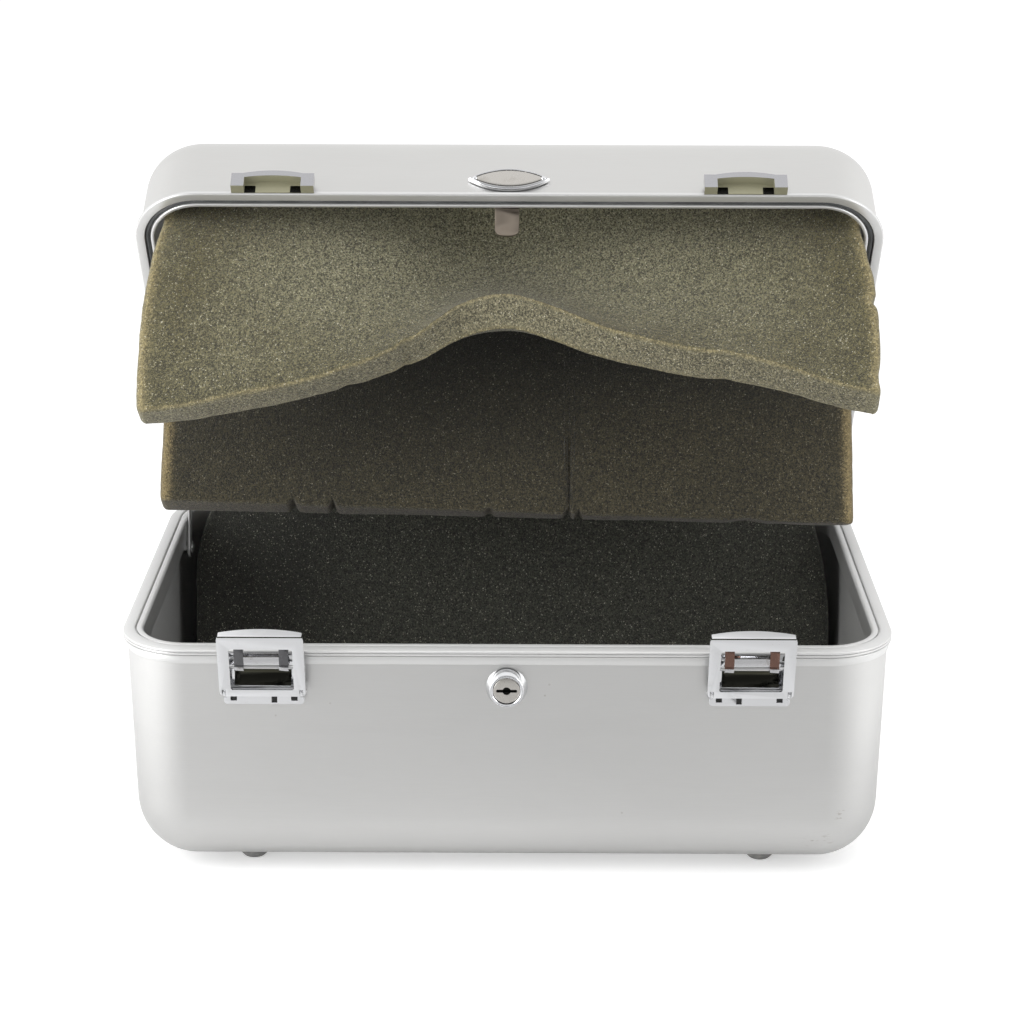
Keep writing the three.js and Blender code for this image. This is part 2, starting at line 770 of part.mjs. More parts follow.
// A leaf from the side, as places in Y and distances from the parting line.
function leafOutline(joggle, inset, draft) {
  const outer = hingeBehindRim - hingeLeaf.web;
  const lift = joggle + hingeLeaf.joggleRun;
  const nearBack = seatGap - (inset + draft * lift);
  const farBack = seatGap - (inset + draft * hingeLeaf.height);
  const { web, sheet, height } = hingeLeaf;
  return [
    [outer, 0],
    [outer - web, 0],
    [outer - web, joggle],
    [nearBack, lift],
    [farBack, height],
    [farBack + sheet, height],
    [nearBack + sheet, lift + sheet / 2],
    [outer, joggle + sheet / 2],
  ].map(([behind, away]) => [caseDepth + behind, away]);
}

function hingeLeafSolid(outline, x, isLid) {
  const start = x - hinge.width / 2;
  const pitch = hinge.width / hinge.knuckles;
  const clear = hinge.knuckleRadius + slideGap;
  const halfGap = hingeLeaf.gap / 2;
  const knuckles = [];
  const spaces = [];
  for (let k = 0; k < hinge.knuckles; k++) {
    const from = start + k * pitch;
    const isFirst = k === 0;
    const isLast = k === hinge.knuckles - 1;
    if ((k % 2 === 1) === isLid) {
      const left = isFirst ? from : from + halfGap;
      const right = isLast ? from + pitch : from + pitch - halfGap;
      knuckles.push(barX(hinge.knuckleRadius, left, right, hingeY, 0));
    } else {
      const left = isFirst ? from - overrun : from - halfGap;
      const right = isLast ? from + pitch + overrun : from + pitch + halfGap;
      spaces.push(block(left, right, caseDepth - overrun, hingeY + clear, -clear, clear));
    }
  }
  const end = start + hinge.width;
  const bore = hinge.pinRadius + pinGap;
  const plate = cutBy(alongX(outline, start, end), spaces);
  return joined([plate, ...knuckles]).subtract(
    barX(bore, start - overrun, end + overrun, hingeY, 0),
  );
}

function hingePinSolid(x) {
  const half = hinge.width / 2 + seatGap;
  const end = half + hingeHead.thickness;
  const profile = [
    [0, x - end],
    [hingeHead.radius, x - end],
    [hingeHead.radius, x - half],
    [hinge.pinRadius, x - half],
    [hinge.pinRadius, x + half],
    [hingeHead.radius, x + half],
    [hingeHead.radius, x + end],
    [0, x + end],
  ];
  return turnedX(profile, hingeY, 0, pinSides);
}

function hinges(baseGroup, lidGroup) {
  const up = leafOutline(hingeLidJoggle, lidShellInset, lidDraft);
  const down = leafOutline(baseBandHeight, baseShellInset, baseDraft).map(([y, z]) => [y, -z]);
  const offset = caseWidth / 2 - hinge.fromEnd;
  for (const [name, x] of [
    ["left", -offset],
    ["right", offset],
  ]) {
    const baseLeaf = hingeLeafSolid(down, x, false);
    const lidLeaf = hingeLeafSolid(up, x, true);
    baseGroup.add(meshOf(`hinge_base_leaf_${name}`, baseLeaf, steel));
    baseGroup.add(meshOf(`hinge_pin_${name}`, hingePinSolid(x), steel));
    lidGroup.add(meshOf(`hinge_lid_leaf_${name}`, lidLeaf, steel));
  }
}

// Slotted stay on the left. Both studs are as far from the hinge line, so the arm turns half as
// much as the lid. It hangs on the lid stud, and its slot runs on the base stud.
const stay = { reach: 60, lidStudHeight: 8, baseStudDegrees: 18.6, width: 11, endRun: 7 };
const stayArm = { thickness: 1.6, offFlange: 0.9 };
const stud = { shank: 2.1, headRadius: 4, head: 2, headEdge: 0.7, washerRadius: 4 };
const stayPost = { radius: 2.8, plateRadius: 6, plateThickness: 1.5 };
const flangeX = flangeInset - caseWidth / 2;
const armX = flangeX + stayArm.offFlange;
const studHeadX = armX + stayArm.thickness + seatGap;

function onHingeCircle(angleDegrees) {
  const angle = radians(angleDegrees);
  const { reach } = stay;
  return new THREE.Vector2(hingeY + reach * Math.cos(angle), reach * Math.sin(angle));
}

const lidStudDegrees = 180 - degrees(Math.asin(stay.lidStudHeight / stay.reach));
const baseStud = onHingeCircle(180 + stay.baseStudDegrees);
const lidStud = onHingeCircle(lidStudDegrees);
const slotNear = lidStud.distanceTo(baseStud);
const slotFar = onHingeCircle(lidStudDegrees - lidOpenDegrees).distanceTo(baseStud);

// The shank and round head of a stud, from the step that carries the arm.
function studEnd(radius) {
  return [
    [radius, armX - seatGap],
    [stud.shank, armX - seatGap],
    [stud.shank, studHeadX],
    [stud.headRadius, studHeadX],
    [stud.headRadius, studHeadX + stud.headEdge],
    [stud.headRadius / 2, studHeadX + stud.head],
    [0, studHeadX + stud.head],
  ];
}

function stayPostSolid() {
  const wall = baseFrontAt(baseStud.y) + shellWall + seatGap - caseWidth / 2;
  const { radius, plateRadius, plateThickness } = stayPost;
  const plate = [
    [0, wall],
    [plateRadius, wall],
    [plateRadius, wall + plateThickness],
    [radius, wall + plateThickness],
  ];
  return turnedX([...plate, ...studEnd(radius)], baseStud.x, baseStud.y);
}

function stayRivetSolid() {
  const start = flangeX + seatGap;
  const washer = [
    [0, start],
    [stud.washerRadius, start],
  ];
  return turnedX([...washer, ...studEnd(stud.washerRadius)], lidStud.x, lidStud.y);
}

// The arm in its own frame: it hangs straight down from the origin.
function stayArmSolid() {
  const round = stay.width / 2;
  const length = slotFar + stay.endRun;
  const outline = roundedBox(stay.width, length + round, round, [0, (round - length) / 2]);
  const slotRadius = stud.shank + pinGap;
  const slotLength = slotFar - slotNear + 2 * slotRadius;
  const slotMiddle = [0, -(slotNear + slotFar) / 2];
  const slot = roundedBox(2 * slotRadius, slotLength, slotRadius, slotMiddle);
  const hole = arc([0, 0], slotRadius, 0, 360, roundSides).slice(1);
  return alongX(outline, armX, armX + stayArm.thickness, [slot, hole]);
}

function stayArmMesh() {
  const mesh = meshOf("stay_arm", stayArmSolid(), steel);
  const baseStudFromLid = onHingeCircle(180 + stay.baseStudDegrees + lidOpenDegrees);
  const along = baseStudFromLid.sub(lidStud);
  mesh.position.set(0, lidStud.x, lidStud.y);
  mesh.rotation.x = Math.atan2(along.x, -along.y);
  return mesh;
}

// Carrying handle on the lid: a bail in two brackets, with a moulded grip round its crossbar
const handle = { fromFront: 128, pivotHeight: 7, halfSpan: 54, reach: 30, bend: 9, bar: 3 };
const handlePin = { radius: 2, end: 62.2 };
const handleGrip = { halfLength: 40, width: 14, thickness: 12, corner: 5 };
const handleBracket = { width: 24, depth: 28, thickness: 1.6, corner: 4 };
const handleLug = { inner: 57.6, thickness: 4, radius: 4.6, foot: 9 };
const bendSteps = 4;
const barSides = 10;

function bracketSolid(hand) {
  const floor = lidHeight + seatGap;
  const top = floor + handleBracket.thickness;
  const outer = handleLug.inner + handleLug.thickness;
  const middle = [(hand * (handleLug.inner + outer)) / 2, handle.fromFront];
  const { width, depth, corner } = handleBracket;
  const plate = alongZ(roundedBox(width, depth, corner, middle), floor, top);
  const sunk = floor + handleBracket.thickness / 2;
  const pivot = [handle.fromFront, lidHeight + handle.pivotHeight];
  const lug = eyeOutline(
    [pivot[0] + handleLug.foot, sunk],
    [pivot[0] - handleLug.foot, sunk],
    pivot,
    handleLug.radius,
  );
  const hole = barX(handlePin.radius + pinGap, -handlePin.end, handlePin.end, ...pivot);
  return joined([plate, betweenX(lug, handleLug.inner, outer, hand)]).subtract(hole);
}

// The bail in its own frame: pivot at the origin, lying along +Y.
function bailSolid() {
  const inner = handle.halfSpan - handle.bend;
  const straight = handle.reach - handle.bend;
  const bends = Array.from({ length: bendSteps + 1 }, (_, k) => (90 * k) / bendSteps);
  const stations = [
    [-inner, -handle.bar, 180],
    ...bends.map((turn) => [-inner, straight, 180 - turn]),
    ...bends.map((turn) => [inner, straight, 90 - turn]),
    [inner, -handle.bar, 0],
  ];
  const rings = stations.map(([x, y, turn]) => {
    const angle = radians(turn);
    return arc([handle.bend, 0], handle.bar, 0, 360, barSides)
      .slice(1)
      .map(([out, z]) => [x + out * Math.cos(angle), y + out * Math.sin(angle), z]);
  });
  const pins = [-1, 1].map((hand) => {
    const [a, b] = [hand * handle.halfSpan, hand * handlePin.end];
    return barX(handlePin.radius, Math.min(a, b), Math.max(a, b), 0, 0);
  });
  return joined([loft(rings), ...pins]);
}

function gripSolid() {
  const { halfLength, width, thickness, corner } = handleGrip;
  const outline = roundedBox(width, thickness, corner, [handle.reach, 0]);
  const bore = arc([handle.reach, 0], handle.bar + seatGap, 0, 360, roundSides).slice(1);
  return alongX(outline, -halfLength, halfLength, [bore]);
}

function carryingHandle() {
  const group = new THREE.Group();
  group.add(meshOf("handle_bracket_left", bracketSolid(-1), steel));
  group.add(meshOf("handle_bracket_right", bracketSolid(1), steel));
  const bail = new THREE.Group();
  bail.position.set(0, handle.fromFront, lidHeight + handle.pivotHeight);
  bail.add(meshOf("handle_bail", bailSolid(), chrome));
  bail.add(meshOf("handle_grip", gripSolid(), gripPlastic));
  group.add(bail);
  return group;
}

// Foam slabs. Each is a cut sheet that bends between the walls of the case. Places on a front
// face are given as shares of the depth and of the height of the lid above the parting line, or
// of the base below it.
const foamThickness = 21;
const foamGap = 0.6;
const frontFoamSideShares = [
  [0.083, 0.84],
  [0.083, -0.136],
  [0.104, -0.384],
  [0.132, -0.587],
  [0.167, -0.824],
];
const frontFoamMiddleShares = [
  [0.201, 0.84],
  [0.229, 0.474],
  [0.236, 0.08],
  [0.215, -0.123],
  [0.17, -0.253],
  [0.115, -0.336],
];
// How far the front slab has risen from its left side to its middle, across the case.
const frontFoamArchShares = [
  0, 0.05, 0.14, 0.21, 0.3, 0.43, 0.63, 0.91, 1, 0.88, 0.7, 0.59, 0.515, 0.465, 0.36, 0.235, 0.16,
];
const middleFoamShares = [
  [0.375, 0.84],
  [0.41, 0.159],
  [0.451, -0.172],
  [0.503, -0.376],
  [0.594, -0.74],
];
const middleFoamTwistShare = 0.04;
const rearFoam = { fromBack: 37, lean: 0.3, top: 5, bow: 2.5 };

function smooth(table) {
  return new THREE.SplineCurve(table.map(([a, b]) => new THREE.Vector2(a, b)));
}

function foamFace(table) {
  const height = (share) => share * (share > 0 ? lidHeight : baseHeight);
  const curve = smooth(table.map(([y, z]) => [y * caseDepth, height(z)]));
  return (share) => curve.getPoint(share).toArray();
}

// How far the inside of a pan is drawn in at a distance from the parting line, where its walls
// are straight and where they round into the floor. The rim flange reaches in further at first.
function insideInset(away, height, edgeRadius, inset, draft) {
  const floor = height - shellWall;
  const section = panSection(0, floor, edgeRadius - shellWall, inset + shellWall, draft);
  const deeper = section.findIndex(([, place]) => place > Math.min(away, floor - seatGap / 2));
  const [[insetA, awayA], [insetB, awayB]] = section.slice(deeper - 1);
  const share = (away - awayA) / (awayB - awayA);
  return Math.max(flangeInset, insetA + (insetB - insetA) * share);
}

// Half the room for a slab that swings with the lid, at a place inside the closed case. What
// hangs below the parting line also has to pass the flange of the base on its way round.
function swingingRoom([y, z]) {
  const passing = hingeY - Math.hypot(hingeY - y, z);
  const up = Math.max(0, z);
  const inset = insideInset(up, lidHeight, lidEdgeRadius, lidShellInset, lidDraft);
  return halfWidthInside(inset, z > 0 ? y : Math.min(y, passing)) - foamGap;
}

// Half the room for a slab that stands in the base.
function standingRoom([y, z]) {
  const down = Math.max(0, -z);
  const inset = insideInset(down, baseHeight, baseEdgeRadius, baseShellInset, baseDraft);
  return halfWidthInside(inset, y) - foamGap;
}

// A slab from a front face given across and down the case, with a place in Y and Z at each.
function foamSlab(columns, rows, face, room, fit = (x) => x) {
  const stepShare = 0.01;
  const front = [];
  const back = [];
  for (let c = 0; c < columns; c++) {
    for (let r = 0; r < rows; r++) {
      const across = (2 * c) / (columns - 1) - 1;
      const down = r / (rows - 1);
      const place = face(across, down);
      const above = face(across, Math.max(0, down - stepShare));
      const below = face(across, Math.min(1, down + stepShare));
      const [dy, dz] = [below[0] - above[0], below[1] - above[1]];
      const size = foamThickness / Math.hypot(dy, dz);
      const behind = [place[0] - dz * size, place[1] + dy * size];
      const x = fit(across * Math.min(room(place), room(behind)));
      front.push([x, ...place]);
      back.push([x, ...behind]);
    }
  }
  return sheetSolid(front, back, columns, rows);
}

// The closed skin of a sheet from two grids of places.
function sheetSolid(front, back, columns, rows) {
  const faces = [];
  const quad = (a, b, c, d) => faces.push(a, b, c, a, c, d);
  const at = (c, r) => c * rows + r;
  const under = (c, r) => columns * rows + at(c, r);
  const [endColumn, endRow] = [columns - 1, rows - 1];
  for (let c = 0; c < endColumn; c++) {
    for (let r = 0; r < endRow; r++) {
      quad(at(c, r), at(c + 1, r), at(c + 1, r + 1), at(c, r + 1));
      quad(under(c, r), under(c, r + 1), under(c + 1, r + 1), under(c + 1, r));
    }
    quad(at(c, 0), under(c, 0), under(c + 1, 0), at(c + 1, 0));
    quad(at(c, endRow), at(c + 1, endRow), under(c + 1, endRow), under(c, endRow));
  }
  for (let r = 0; r < endRow; r++) {
    quad(at(0, r), at(0, r + 1), under(0, r + 1), under(0, r));
    quad(at(endColumn, r), under(endColumn, r), under(endColumn, r + 1), at(endColumn, r + 1));
  }
  const geometry = new THREE.BufferGeometry();
  const places = [...front, ...back].flat();
  geometry.setAttribute("position", new THREE.Float32BufferAttribute(places, 3));
  geometry.setIndex(faces);
  return solidOf(geometry);
}

function frontFoamSolid() {
  const side = foamFace(frontFoamSideShares);
  const middle = foamFace(frontFoamMiddleShares);
  const arch = smooth(frontFoamArchShares.map((share, k) => [k, share]));
  const face = (across, down) => {
    const risen = arch.getPoint((across + 1) / 2).y;
    const [a, b] = [side(down), middle(down)];
    return [a[0] + (b[0] - a[0]) * risen, a[1] + (b[1] - a[1]) * risen];
  };
  return foamSlab(25, 14, face, swingingRoom);
}

function middleFoamSolid() {
  const profile = foamFace(middleFoamShares);
  const face = (across, down) => {
    const [y, z] = profile(down);
    return [y + across * down * down * middleFoamTwistShare * caseDepth, z];
  };
  return foamSlab(13, 12, face, swingingRoom);
}

// The rear slab leans back from the floor and stops short of the stay on its left.
function rearFoamSolid() {
  const { fromBack, lean, top, bow } = rearFoam;
  const front = caseDepth - fromBack;
  const floor = shellWall + seatGap - baseHeight;
  const foot = floor + (foamThickness * lean) / Math.hypot(1, lean);
  const stayRoom = studHeadX + stud.head + slideGap;
  const face = (across, down) => {
    const z = top + (foot - top) * Math.sin((down * Math.PI) / 2);
    return [front + lean * z - bow * (1 - across * across), z];
  };
  return foamSlab(15, 14, face, standingRoom, (x) => Math.max(x, stayRoom));
}

// The case, piece by piece
function basePieces() {
  const group = new THREE.Group();
  const lockHole = barY(lockBore.threadRadius + seatGap, -overrun, lockPlug.tailStart, 0, lock.z);
  const shell = panShell(
    baseBeadHeight,
    baseHeight,
    baseEdgeRadius,
    baseShellInset,
    baseDraft,
    -1,
  ).subtract(lockHole);
  group.add(meshOf("base_shell", shell, aluminium));
  group.add(meshOf("base_frame", baseFrame(), frameAluminium));
  group.add(...feet());
  group.add(latch(-1), latch(1));
  group.add(meshOf("lock_housing", lockHousing(), nickel));
  group.add(meshOf("lock_nut", lockNutSolid(), nickel));
  group.add(meshOf("lock_core", lockCore(), nickel));
  group.add(meshOf("lock_cam", lockCamSolid(), steel));
  group.add(meshOf("stay_post", stayPostSolid(), steel));
  group.add(meshOf("foam_rear", rearFoamSolid(), darkFoam));
  return group;
}

function lidPieces() {
  const group = new THREE.Group();
  group.add(meshOf("lid_shell", lidShell(), aluminium));
  group.add(meshOf("lid_frame", lidFrame(), frameAluminium));
  group.add(meshOf("lid_seal", lidSeal(), sealRubber));
  for (const [name, x] of [
    ["left", -latchOffset],
    ["right", latchOffset],
  ]) {
    group.add(meshOf(`keeper_${name}`, keeperSolid().translate([x, 0, 0]), chrome));
  }
  group.add(meshOf("nameplate", nameplateSolid(), chrome));
  group.add(meshOf("catch_tab", catchTabSolid(), frameAluminium));
  group.add(meshOf("stay_rivet", stayRivetSolid(), steel));
  group.add(stayArmMesh());
  group.add(carryingHandle());
  group.add(meshOf("foam_front", frontFoamSolid(), foam));
  group.add(meshOf("foam_middle", middleFoamSolid(), foam));
  return group;
}

// The lid is turned about the hinge line, then the case is set down with the middle of its plan
// over the origin and its feet on the ground.
function standingCase() {
  const closedFrame = new THREE.Group();
  const base = basePieces();
  const lid = lidPieces();
  hinges(base, lid);
  lid.position.y = -hingeY;
  const lidTurn = new THREE.Group();
  lidTurn.position.y = hingeY;
  lidTurn.rotation.x = -radians(lidOpenDegrees);
  lidTurn.add(lid);
  closedFrame.add(base, lidTurn);
  closedFrame.updateMatrixWorld(true);
  const box = new THREE.Box3().setFromObject(closedFrame, true);
  const centre = box.getCenter(new THREE.Vector3());
  closedFrame.position.set(-centre.x, -centre.y, -box.min.z);
  const group = new THREE.Group();
  group.add(closedFrame);
  return group;
}

const group = standingCase();
export default group;
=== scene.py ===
# A drawn aluminium utility case with its lid standing open and three loose slabs of foam inside,
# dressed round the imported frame. Sizes are millimetres of the closed case, with the front edge
# of the rim at y = 0 and the parting line at z = 0, and are carried to metres as a piece is set.
import json
import math

import bmesh
import bpy
from mathutils import Matrix, Vector, noise


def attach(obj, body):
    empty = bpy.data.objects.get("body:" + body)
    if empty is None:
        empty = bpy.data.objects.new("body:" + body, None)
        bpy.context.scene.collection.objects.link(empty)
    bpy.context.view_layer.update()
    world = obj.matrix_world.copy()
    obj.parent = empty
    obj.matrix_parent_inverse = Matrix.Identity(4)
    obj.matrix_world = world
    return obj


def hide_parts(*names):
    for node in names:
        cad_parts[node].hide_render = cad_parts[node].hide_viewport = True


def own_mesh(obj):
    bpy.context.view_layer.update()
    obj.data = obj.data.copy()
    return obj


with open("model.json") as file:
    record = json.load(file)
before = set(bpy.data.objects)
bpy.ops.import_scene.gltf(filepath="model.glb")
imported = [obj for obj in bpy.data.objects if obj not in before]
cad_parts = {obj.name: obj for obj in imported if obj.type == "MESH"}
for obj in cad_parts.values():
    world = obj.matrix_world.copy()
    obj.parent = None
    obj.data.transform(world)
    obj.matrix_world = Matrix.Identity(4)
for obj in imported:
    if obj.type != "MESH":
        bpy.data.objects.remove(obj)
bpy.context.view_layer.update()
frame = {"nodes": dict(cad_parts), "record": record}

# The portrait. A long lens looks down on the case a little, from just right of its middle, and
# the picture is square.
lens_reach = 88.6
camera_place = Vector((0.0099, -1.51936, 0.6853))
look_down, look_left, lean = (math.radians(a) for a in (18.223, -0.295, 0.135))

ahead = Vector((math.sin(look_left), math.cos(look_left), -math.tan(look_down))).normalized()
across = ahead.cross(Vector((0, 0, 1))).normalized()
upright = across.cross(ahead)
across, upright = (
    across * math.cos(lean) + upright * math.sin(lean),
    upright * math.cos(lean) - across * math.sin(lean),
)


def put(name, data):
    """An object that holds the data, linked into the scene."""
    holder = bpy.data.objects.new(name, data)
    bpy.context.collection.objects.link(holder)
    return holder


camera = put("portrait_camera", bpy.data.cameras.new("portrait_camera"))
camera.data.lens = lens_reach
camera.data.sensor_width = 36
camera.data.clip_start = 0.05
aimed = Matrix((across, upright, -ahead)).transposed().to_4x4()
camera.matrix_world = Matrix.Translation(camera_place) @ aimed
bpy.context.scene.camera = camera


# The studio. A white floor runs into white air. A broad soft light hangs over the case, with a
# softbox on each side of it, and the room behind the camera is a little darker.
class Value:
    """What leaves a socket. Python's own arithmetic on it adds Math nodes."""

    def __init__(self, finish, socket):
        self.finish = finish
        self.socket = socket

    def math(self, operation, first, second):
        return self.finish.add("ShaderNodeMath", {"operation": operation}, {0: first, 1: second})

    def __add__(self, other):
        return self.math("ADD", self, other)

    def __sub__(self, other):
        return self.math("SUBTRACT", self, other)

    def __rsub__(self, other):
        return self.math("SUBTRACT", other, self)

    def __mul__(self, other):
        return self.math("MULTIPLY", self, other)

    __radd__ = __add__
    __rmul__ = __mul__

    def at_most(self, limit):
        return self.math("MINIMUM", self, limit)


class Finish:
    """A finish, put together node by node."""

    def __init__(self, name, owner=None):
        self.owner = owner or bpy.data.materials.new(name)
        self.owner.use_nodes = True
        self.tree = self.owner.node_tree
        self.tree.nodes.clear()

    def add(self, kind, settings, sockets, out=0):
        node = self.tree.nodes.new(kind)
        for key, value in settings.items():
            setattr(node, key, value)
        for key, value in sockets.items():
            if isinstance(value, Value):
                self.tree.links.new(value.socket, node.inputs[key])
            else:
                node.inputs[key].default_value = value
        return Value(self, node.outputs[out]) if node.outputs else None

    def place(self):
        return self.add("ShaderNodeTexCoord", {}, {}, "Object")

    def part_of(self, vector, axis):
        return self.add("ShaderNodeSeparateXYZ", {}, {"Vector": vector}, axis)

    def ray(self, kind):
        """One for rays of a kind, and zero for others."""
        return self.add("ShaderNodeLightPath", {}, {}, kind)

    def marked(self, name):
        """A value that is marked on a piece by name, and zero where it isn't."""
        return self.add("ShaderNodeAttribute", {"attribute_name": name}, {}, "Fac")

    def stretched(self, place, scale):
        return self.add("ShaderNodeMapping", {}, {"Vector": place, "Scale": scale})

    def cloud(self, place, scale, detail=2, rough=0.5):
        sizes = {"Vector": place, "Scale": scale, "Detail": detail, "Roughness": rough}
        return self.add("ShaderNodeTexNoise", {}, sizes)

    def cells(self, place, scale):
        """The distance from the middle of the nearest small cell."""
        return self.add("ShaderNodeTexVoronoi", {}, {"Vector": place, "Scale": scale}, "Distance")

    def grains(self, place, scale):
        """A value of its own for each small cell."""
        return self.add("ShaderNodeTexVoronoi", {}, {"Vector": place, "Scale": scale}, "Color")

    def between(self, value, low, high, least=0.0, most=1.0):
        """Least below low, most above high, and a smooth rise between."""
        sockets = {"Value": value, "From Min": low, "From Max": high}
        sockets.update({"To Min": least, "To Max": most})
        return self.add("ShaderNodeMapRange", {"interpolation_type": "SMOOTHSTEP"}, sockets)

    def blend(self, share, first, second):
        """From the first colour to the second by a share."""
        return self.add("ShaderNodeMix", {"data_type": "RGBA"}, {0: share, 6: first, 7: second}, 2)

    def bump(self, height, distance, strength=1.0):
        sockets = {"Height": height, "Distance": distance, "Strength": strength}
        return self.add("ShaderNodeBump", {}, sockets)

    def done(self, **sockets):
        """The whole finish, with its sockets named by words joined with an underscore."""
        named = {key.replace("_", " "): value for key, value in sockets.items()}
        skin = self.add("ShaderNodeBsdfPrincipled", {}, named)
        self.add("ShaderNodeOutputMaterial", {}, {"Surface": skin})
        return self.owner


air = Finish("", bpy.context.scene.world or bpy.data.worlds.new("studio_air"))
bpy.context.scene.world = air.owner
seen, mirrored = air.ray("Is Camera Ray"), air.ray("Is Glossy Ray")
through = air.ray("Is Transmission Ray")
heading = air.add("ShaderNodeTexCoord", {}, {}, "Generated")
toward_back, toward_side = air.part_of(heading, "Y"), air.part_of(heading, "X")
plain_air, front_air, back_air, side_air = 0.62, 0.42, 1.13, 0.25
room = air.between(toward_back, -0.95, -0.1, front_air, back_air)
room = room + air.between(toward_side * toward_side, 0.25, 0.9, 0, side_air)
to_white = 1 - plain_air
strength = plain_air + to_white * seen + (room - plain_air) * mirrored + to_white * through
sky = air.add("ShaderNodeBackground", {}, {"Color": (1, 1, 1, 1), "Strength": strength})
air.add("ShaderNodeOutputWorld", {}, {"Surface": sky})

floor_reach = 6
floor_mesh = bpy.data.meshes.new("studio_floor")
floor_mesh.from_pydata(
    [(x * floor_reach, y * floor_reach, 0) for x, y in ((-1, -1), (1, -1), (1, 1), (-1, 1))],
    [],
    [(0, 1, 2, 3)],
)
studio_floor = put("studio_floor", floor_mesh)
paper = Finish("white_paper")
paper_seen, paper_mirrored = paper.ray("Is Camera Ray"), paper.ray("Is Glossy Ray")
paper_skin = paper.add("ShaderNodeBsdfDiffuse", {}, {"Color": (0.78, 0.78, 0.78, 1)})
from_case = paper.add("ShaderNodeVectorMath", {"operation": "LENGTH"}, {0: paper.place()}, "Value")
paler = paper.between(from_case, 0.4, 2.6, 0.26, 0.38)
aside, beyond = paper.part_of(paper.place(), "X"), paper.part_of(paper.place(), "Y")
flagged = paper.between(aside * aside, 0.05, 0.25, -0.17, 0.26)
flagged = flagged + paper.between(0 - beyond, 0.17, 0.32, 0.14, -0.16)
plain_glow = 0.17
glow = plain_glow + paler * paper_seen + flagged * paper_mirrored
paper_glow = paper.add("ShaderNodeEmission", {}, {"Color": (1, 1, 1, 1), "Strength": glow})
paper_whole = paper.add("ShaderNodeAddShader", {}, {0: paper_skin, 1: paper_glow})
paper.add("ShaderNodeOutputMaterial", {}, {"Surface": paper_whole})
floor_mesh.materials.append(paper.owner)


def softbox(name, place, aim, width, height, power, mirrored_too=True):
    lamp = bpy.data.lights.new(name, "AREA")
    lamp.shape = "RECTANGLE"
    lamp.size, lamp.size_y, lamp.energy = width, height, power
    holder = put(name, lamp)
    holder.location = place
    holder.rotation_mode = "QUATERNION"
    holder.rotation_quaternion = (Vector(aim) - Vector(place)).to_track_quat("-Z", "Y")
    holder.visible_glossy = mirrored_too


softbox("overhead_softbox", (0, -0.35, 1.9), (0, 0, 0.2), 3.0, 2.4, power=21, mirrored_too=False)
softbox("left_softbox", (-1.15, -0.75, 0.55), (0, -0.05, 0.1), 0.75, 1.05, power=12)
softbox("right_softbox", (1.25, -0.65, 0.6), (0, -0.05, 0.1), 0.5, 1.0, power=4.5)
bpy.context.scene.view_settings.view_transform = "Standard"

# Drawn shells. Each half is deep-drawn from one sheet of aluminium to a pan with round corners,
# then brushed to an even satin. Years of handling left faint smears and a few scuffs.
millimetre = 0.001
case_width, case_depth = 457, 288
base_height, lid_height = 146, 63
base_edge, base_inset, base_draft, base_lap = 38, 2.2, 0.019, 4.4
lid_edge, lid_inset, lid_draft, lid_lap = 28, 2.5, 0.037, 3.2
rim_corner, least_corner = 41, 0.4
shell_wall = 1.8
seat_gap = 0.3
hinge_y = 294
lid_open = math.radians(55.4)
hinge_line = next(j for j in frame["record"]["behaviour"]["joints"] if j["name"] == "lid_hinge")

to_metres = Matrix.Scale(millimetre, 4)
from_hinge = Matrix.Translation((0, -hinge_y, 0))
at_hinge = Matrix.Translation(hinge_line["pos_m"])
in_base = at_hinge @ to_metres @ from_hinge
in_lid = at_hinge @ Matrix.Rotation(-lid_open, 4, "X") @ to_metres @ from_hinge


def stood(name, points, faces, place):
    """A mesh in the closed case's millimetres, stood in place with its faces turned outward."""
    mesh = bpy.data.meshes.new(name)
    mesh.from_pydata(points, [], faces)
    mesh.transform(place)
    skin = bmesh.new()
    skin.from_mesh(mesh)
    bmesh.ops.recalc_face_normals(skin, faces=skin.faces)
    skin.to_mesh(mesh)
    skin.free()
    return mesh


def set_piece(name, points, faces, place, body, slot, finish, nodes=(), sharp=35):
    """A finished piece, stood in place, hung on its body and dressed in its finish. Its slot is not
    used.
    """
    mesh = stood(name, points, faces, place)
    mesh.shade_smooth()
    mesh.set_sharp_from_angle(angle=math.radians(sharp))
    mesh.materials.append(finish)
    piece = put(name, mesh)
    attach(piece, body)
    if nodes:
        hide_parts(*nodes)
    return piece


def arc(centre, radius, start, end, steps):
    """Points round a centre from one angle in degrees to another."""
    turns = [math.radians(start + (end - start) * k / steps) for k in range(steps + 1)]
    return [(centre[0] + radius * math.cos(t), centre[1] + radius * math.sin(t)) for t in turns]


def round_box(width, height, radius, centre=(0, 0), steps=6):
    """The outline of a rectangle with round corners."""
    reach_a, reach_b = width / 2 - radius, height / 2 - radius
    outline = []
    for a, b, start in ((1, -1, -90), (1, 1, 0), (-1, 1, 90), (-1, -1, 180)):
        corner = (centre[0] + a * reach_a, centre[1] + b * reach_b)
        outline += arc(corner, radius, start, start + 90, steps)
    return outline


def rim_ring(inset, z, steps=22):
    """The plan outline of the case, drawn in from the edge of the rim."""
    radius = max(rim_corner - inset, least_corner)
    middle = (0, case_depth / 2)
    plan = round_box(case_width - 2 * inset, case_depth - 2 * inset, radius, middle, steps)
    return [(x, y, z) for x, y in plan]


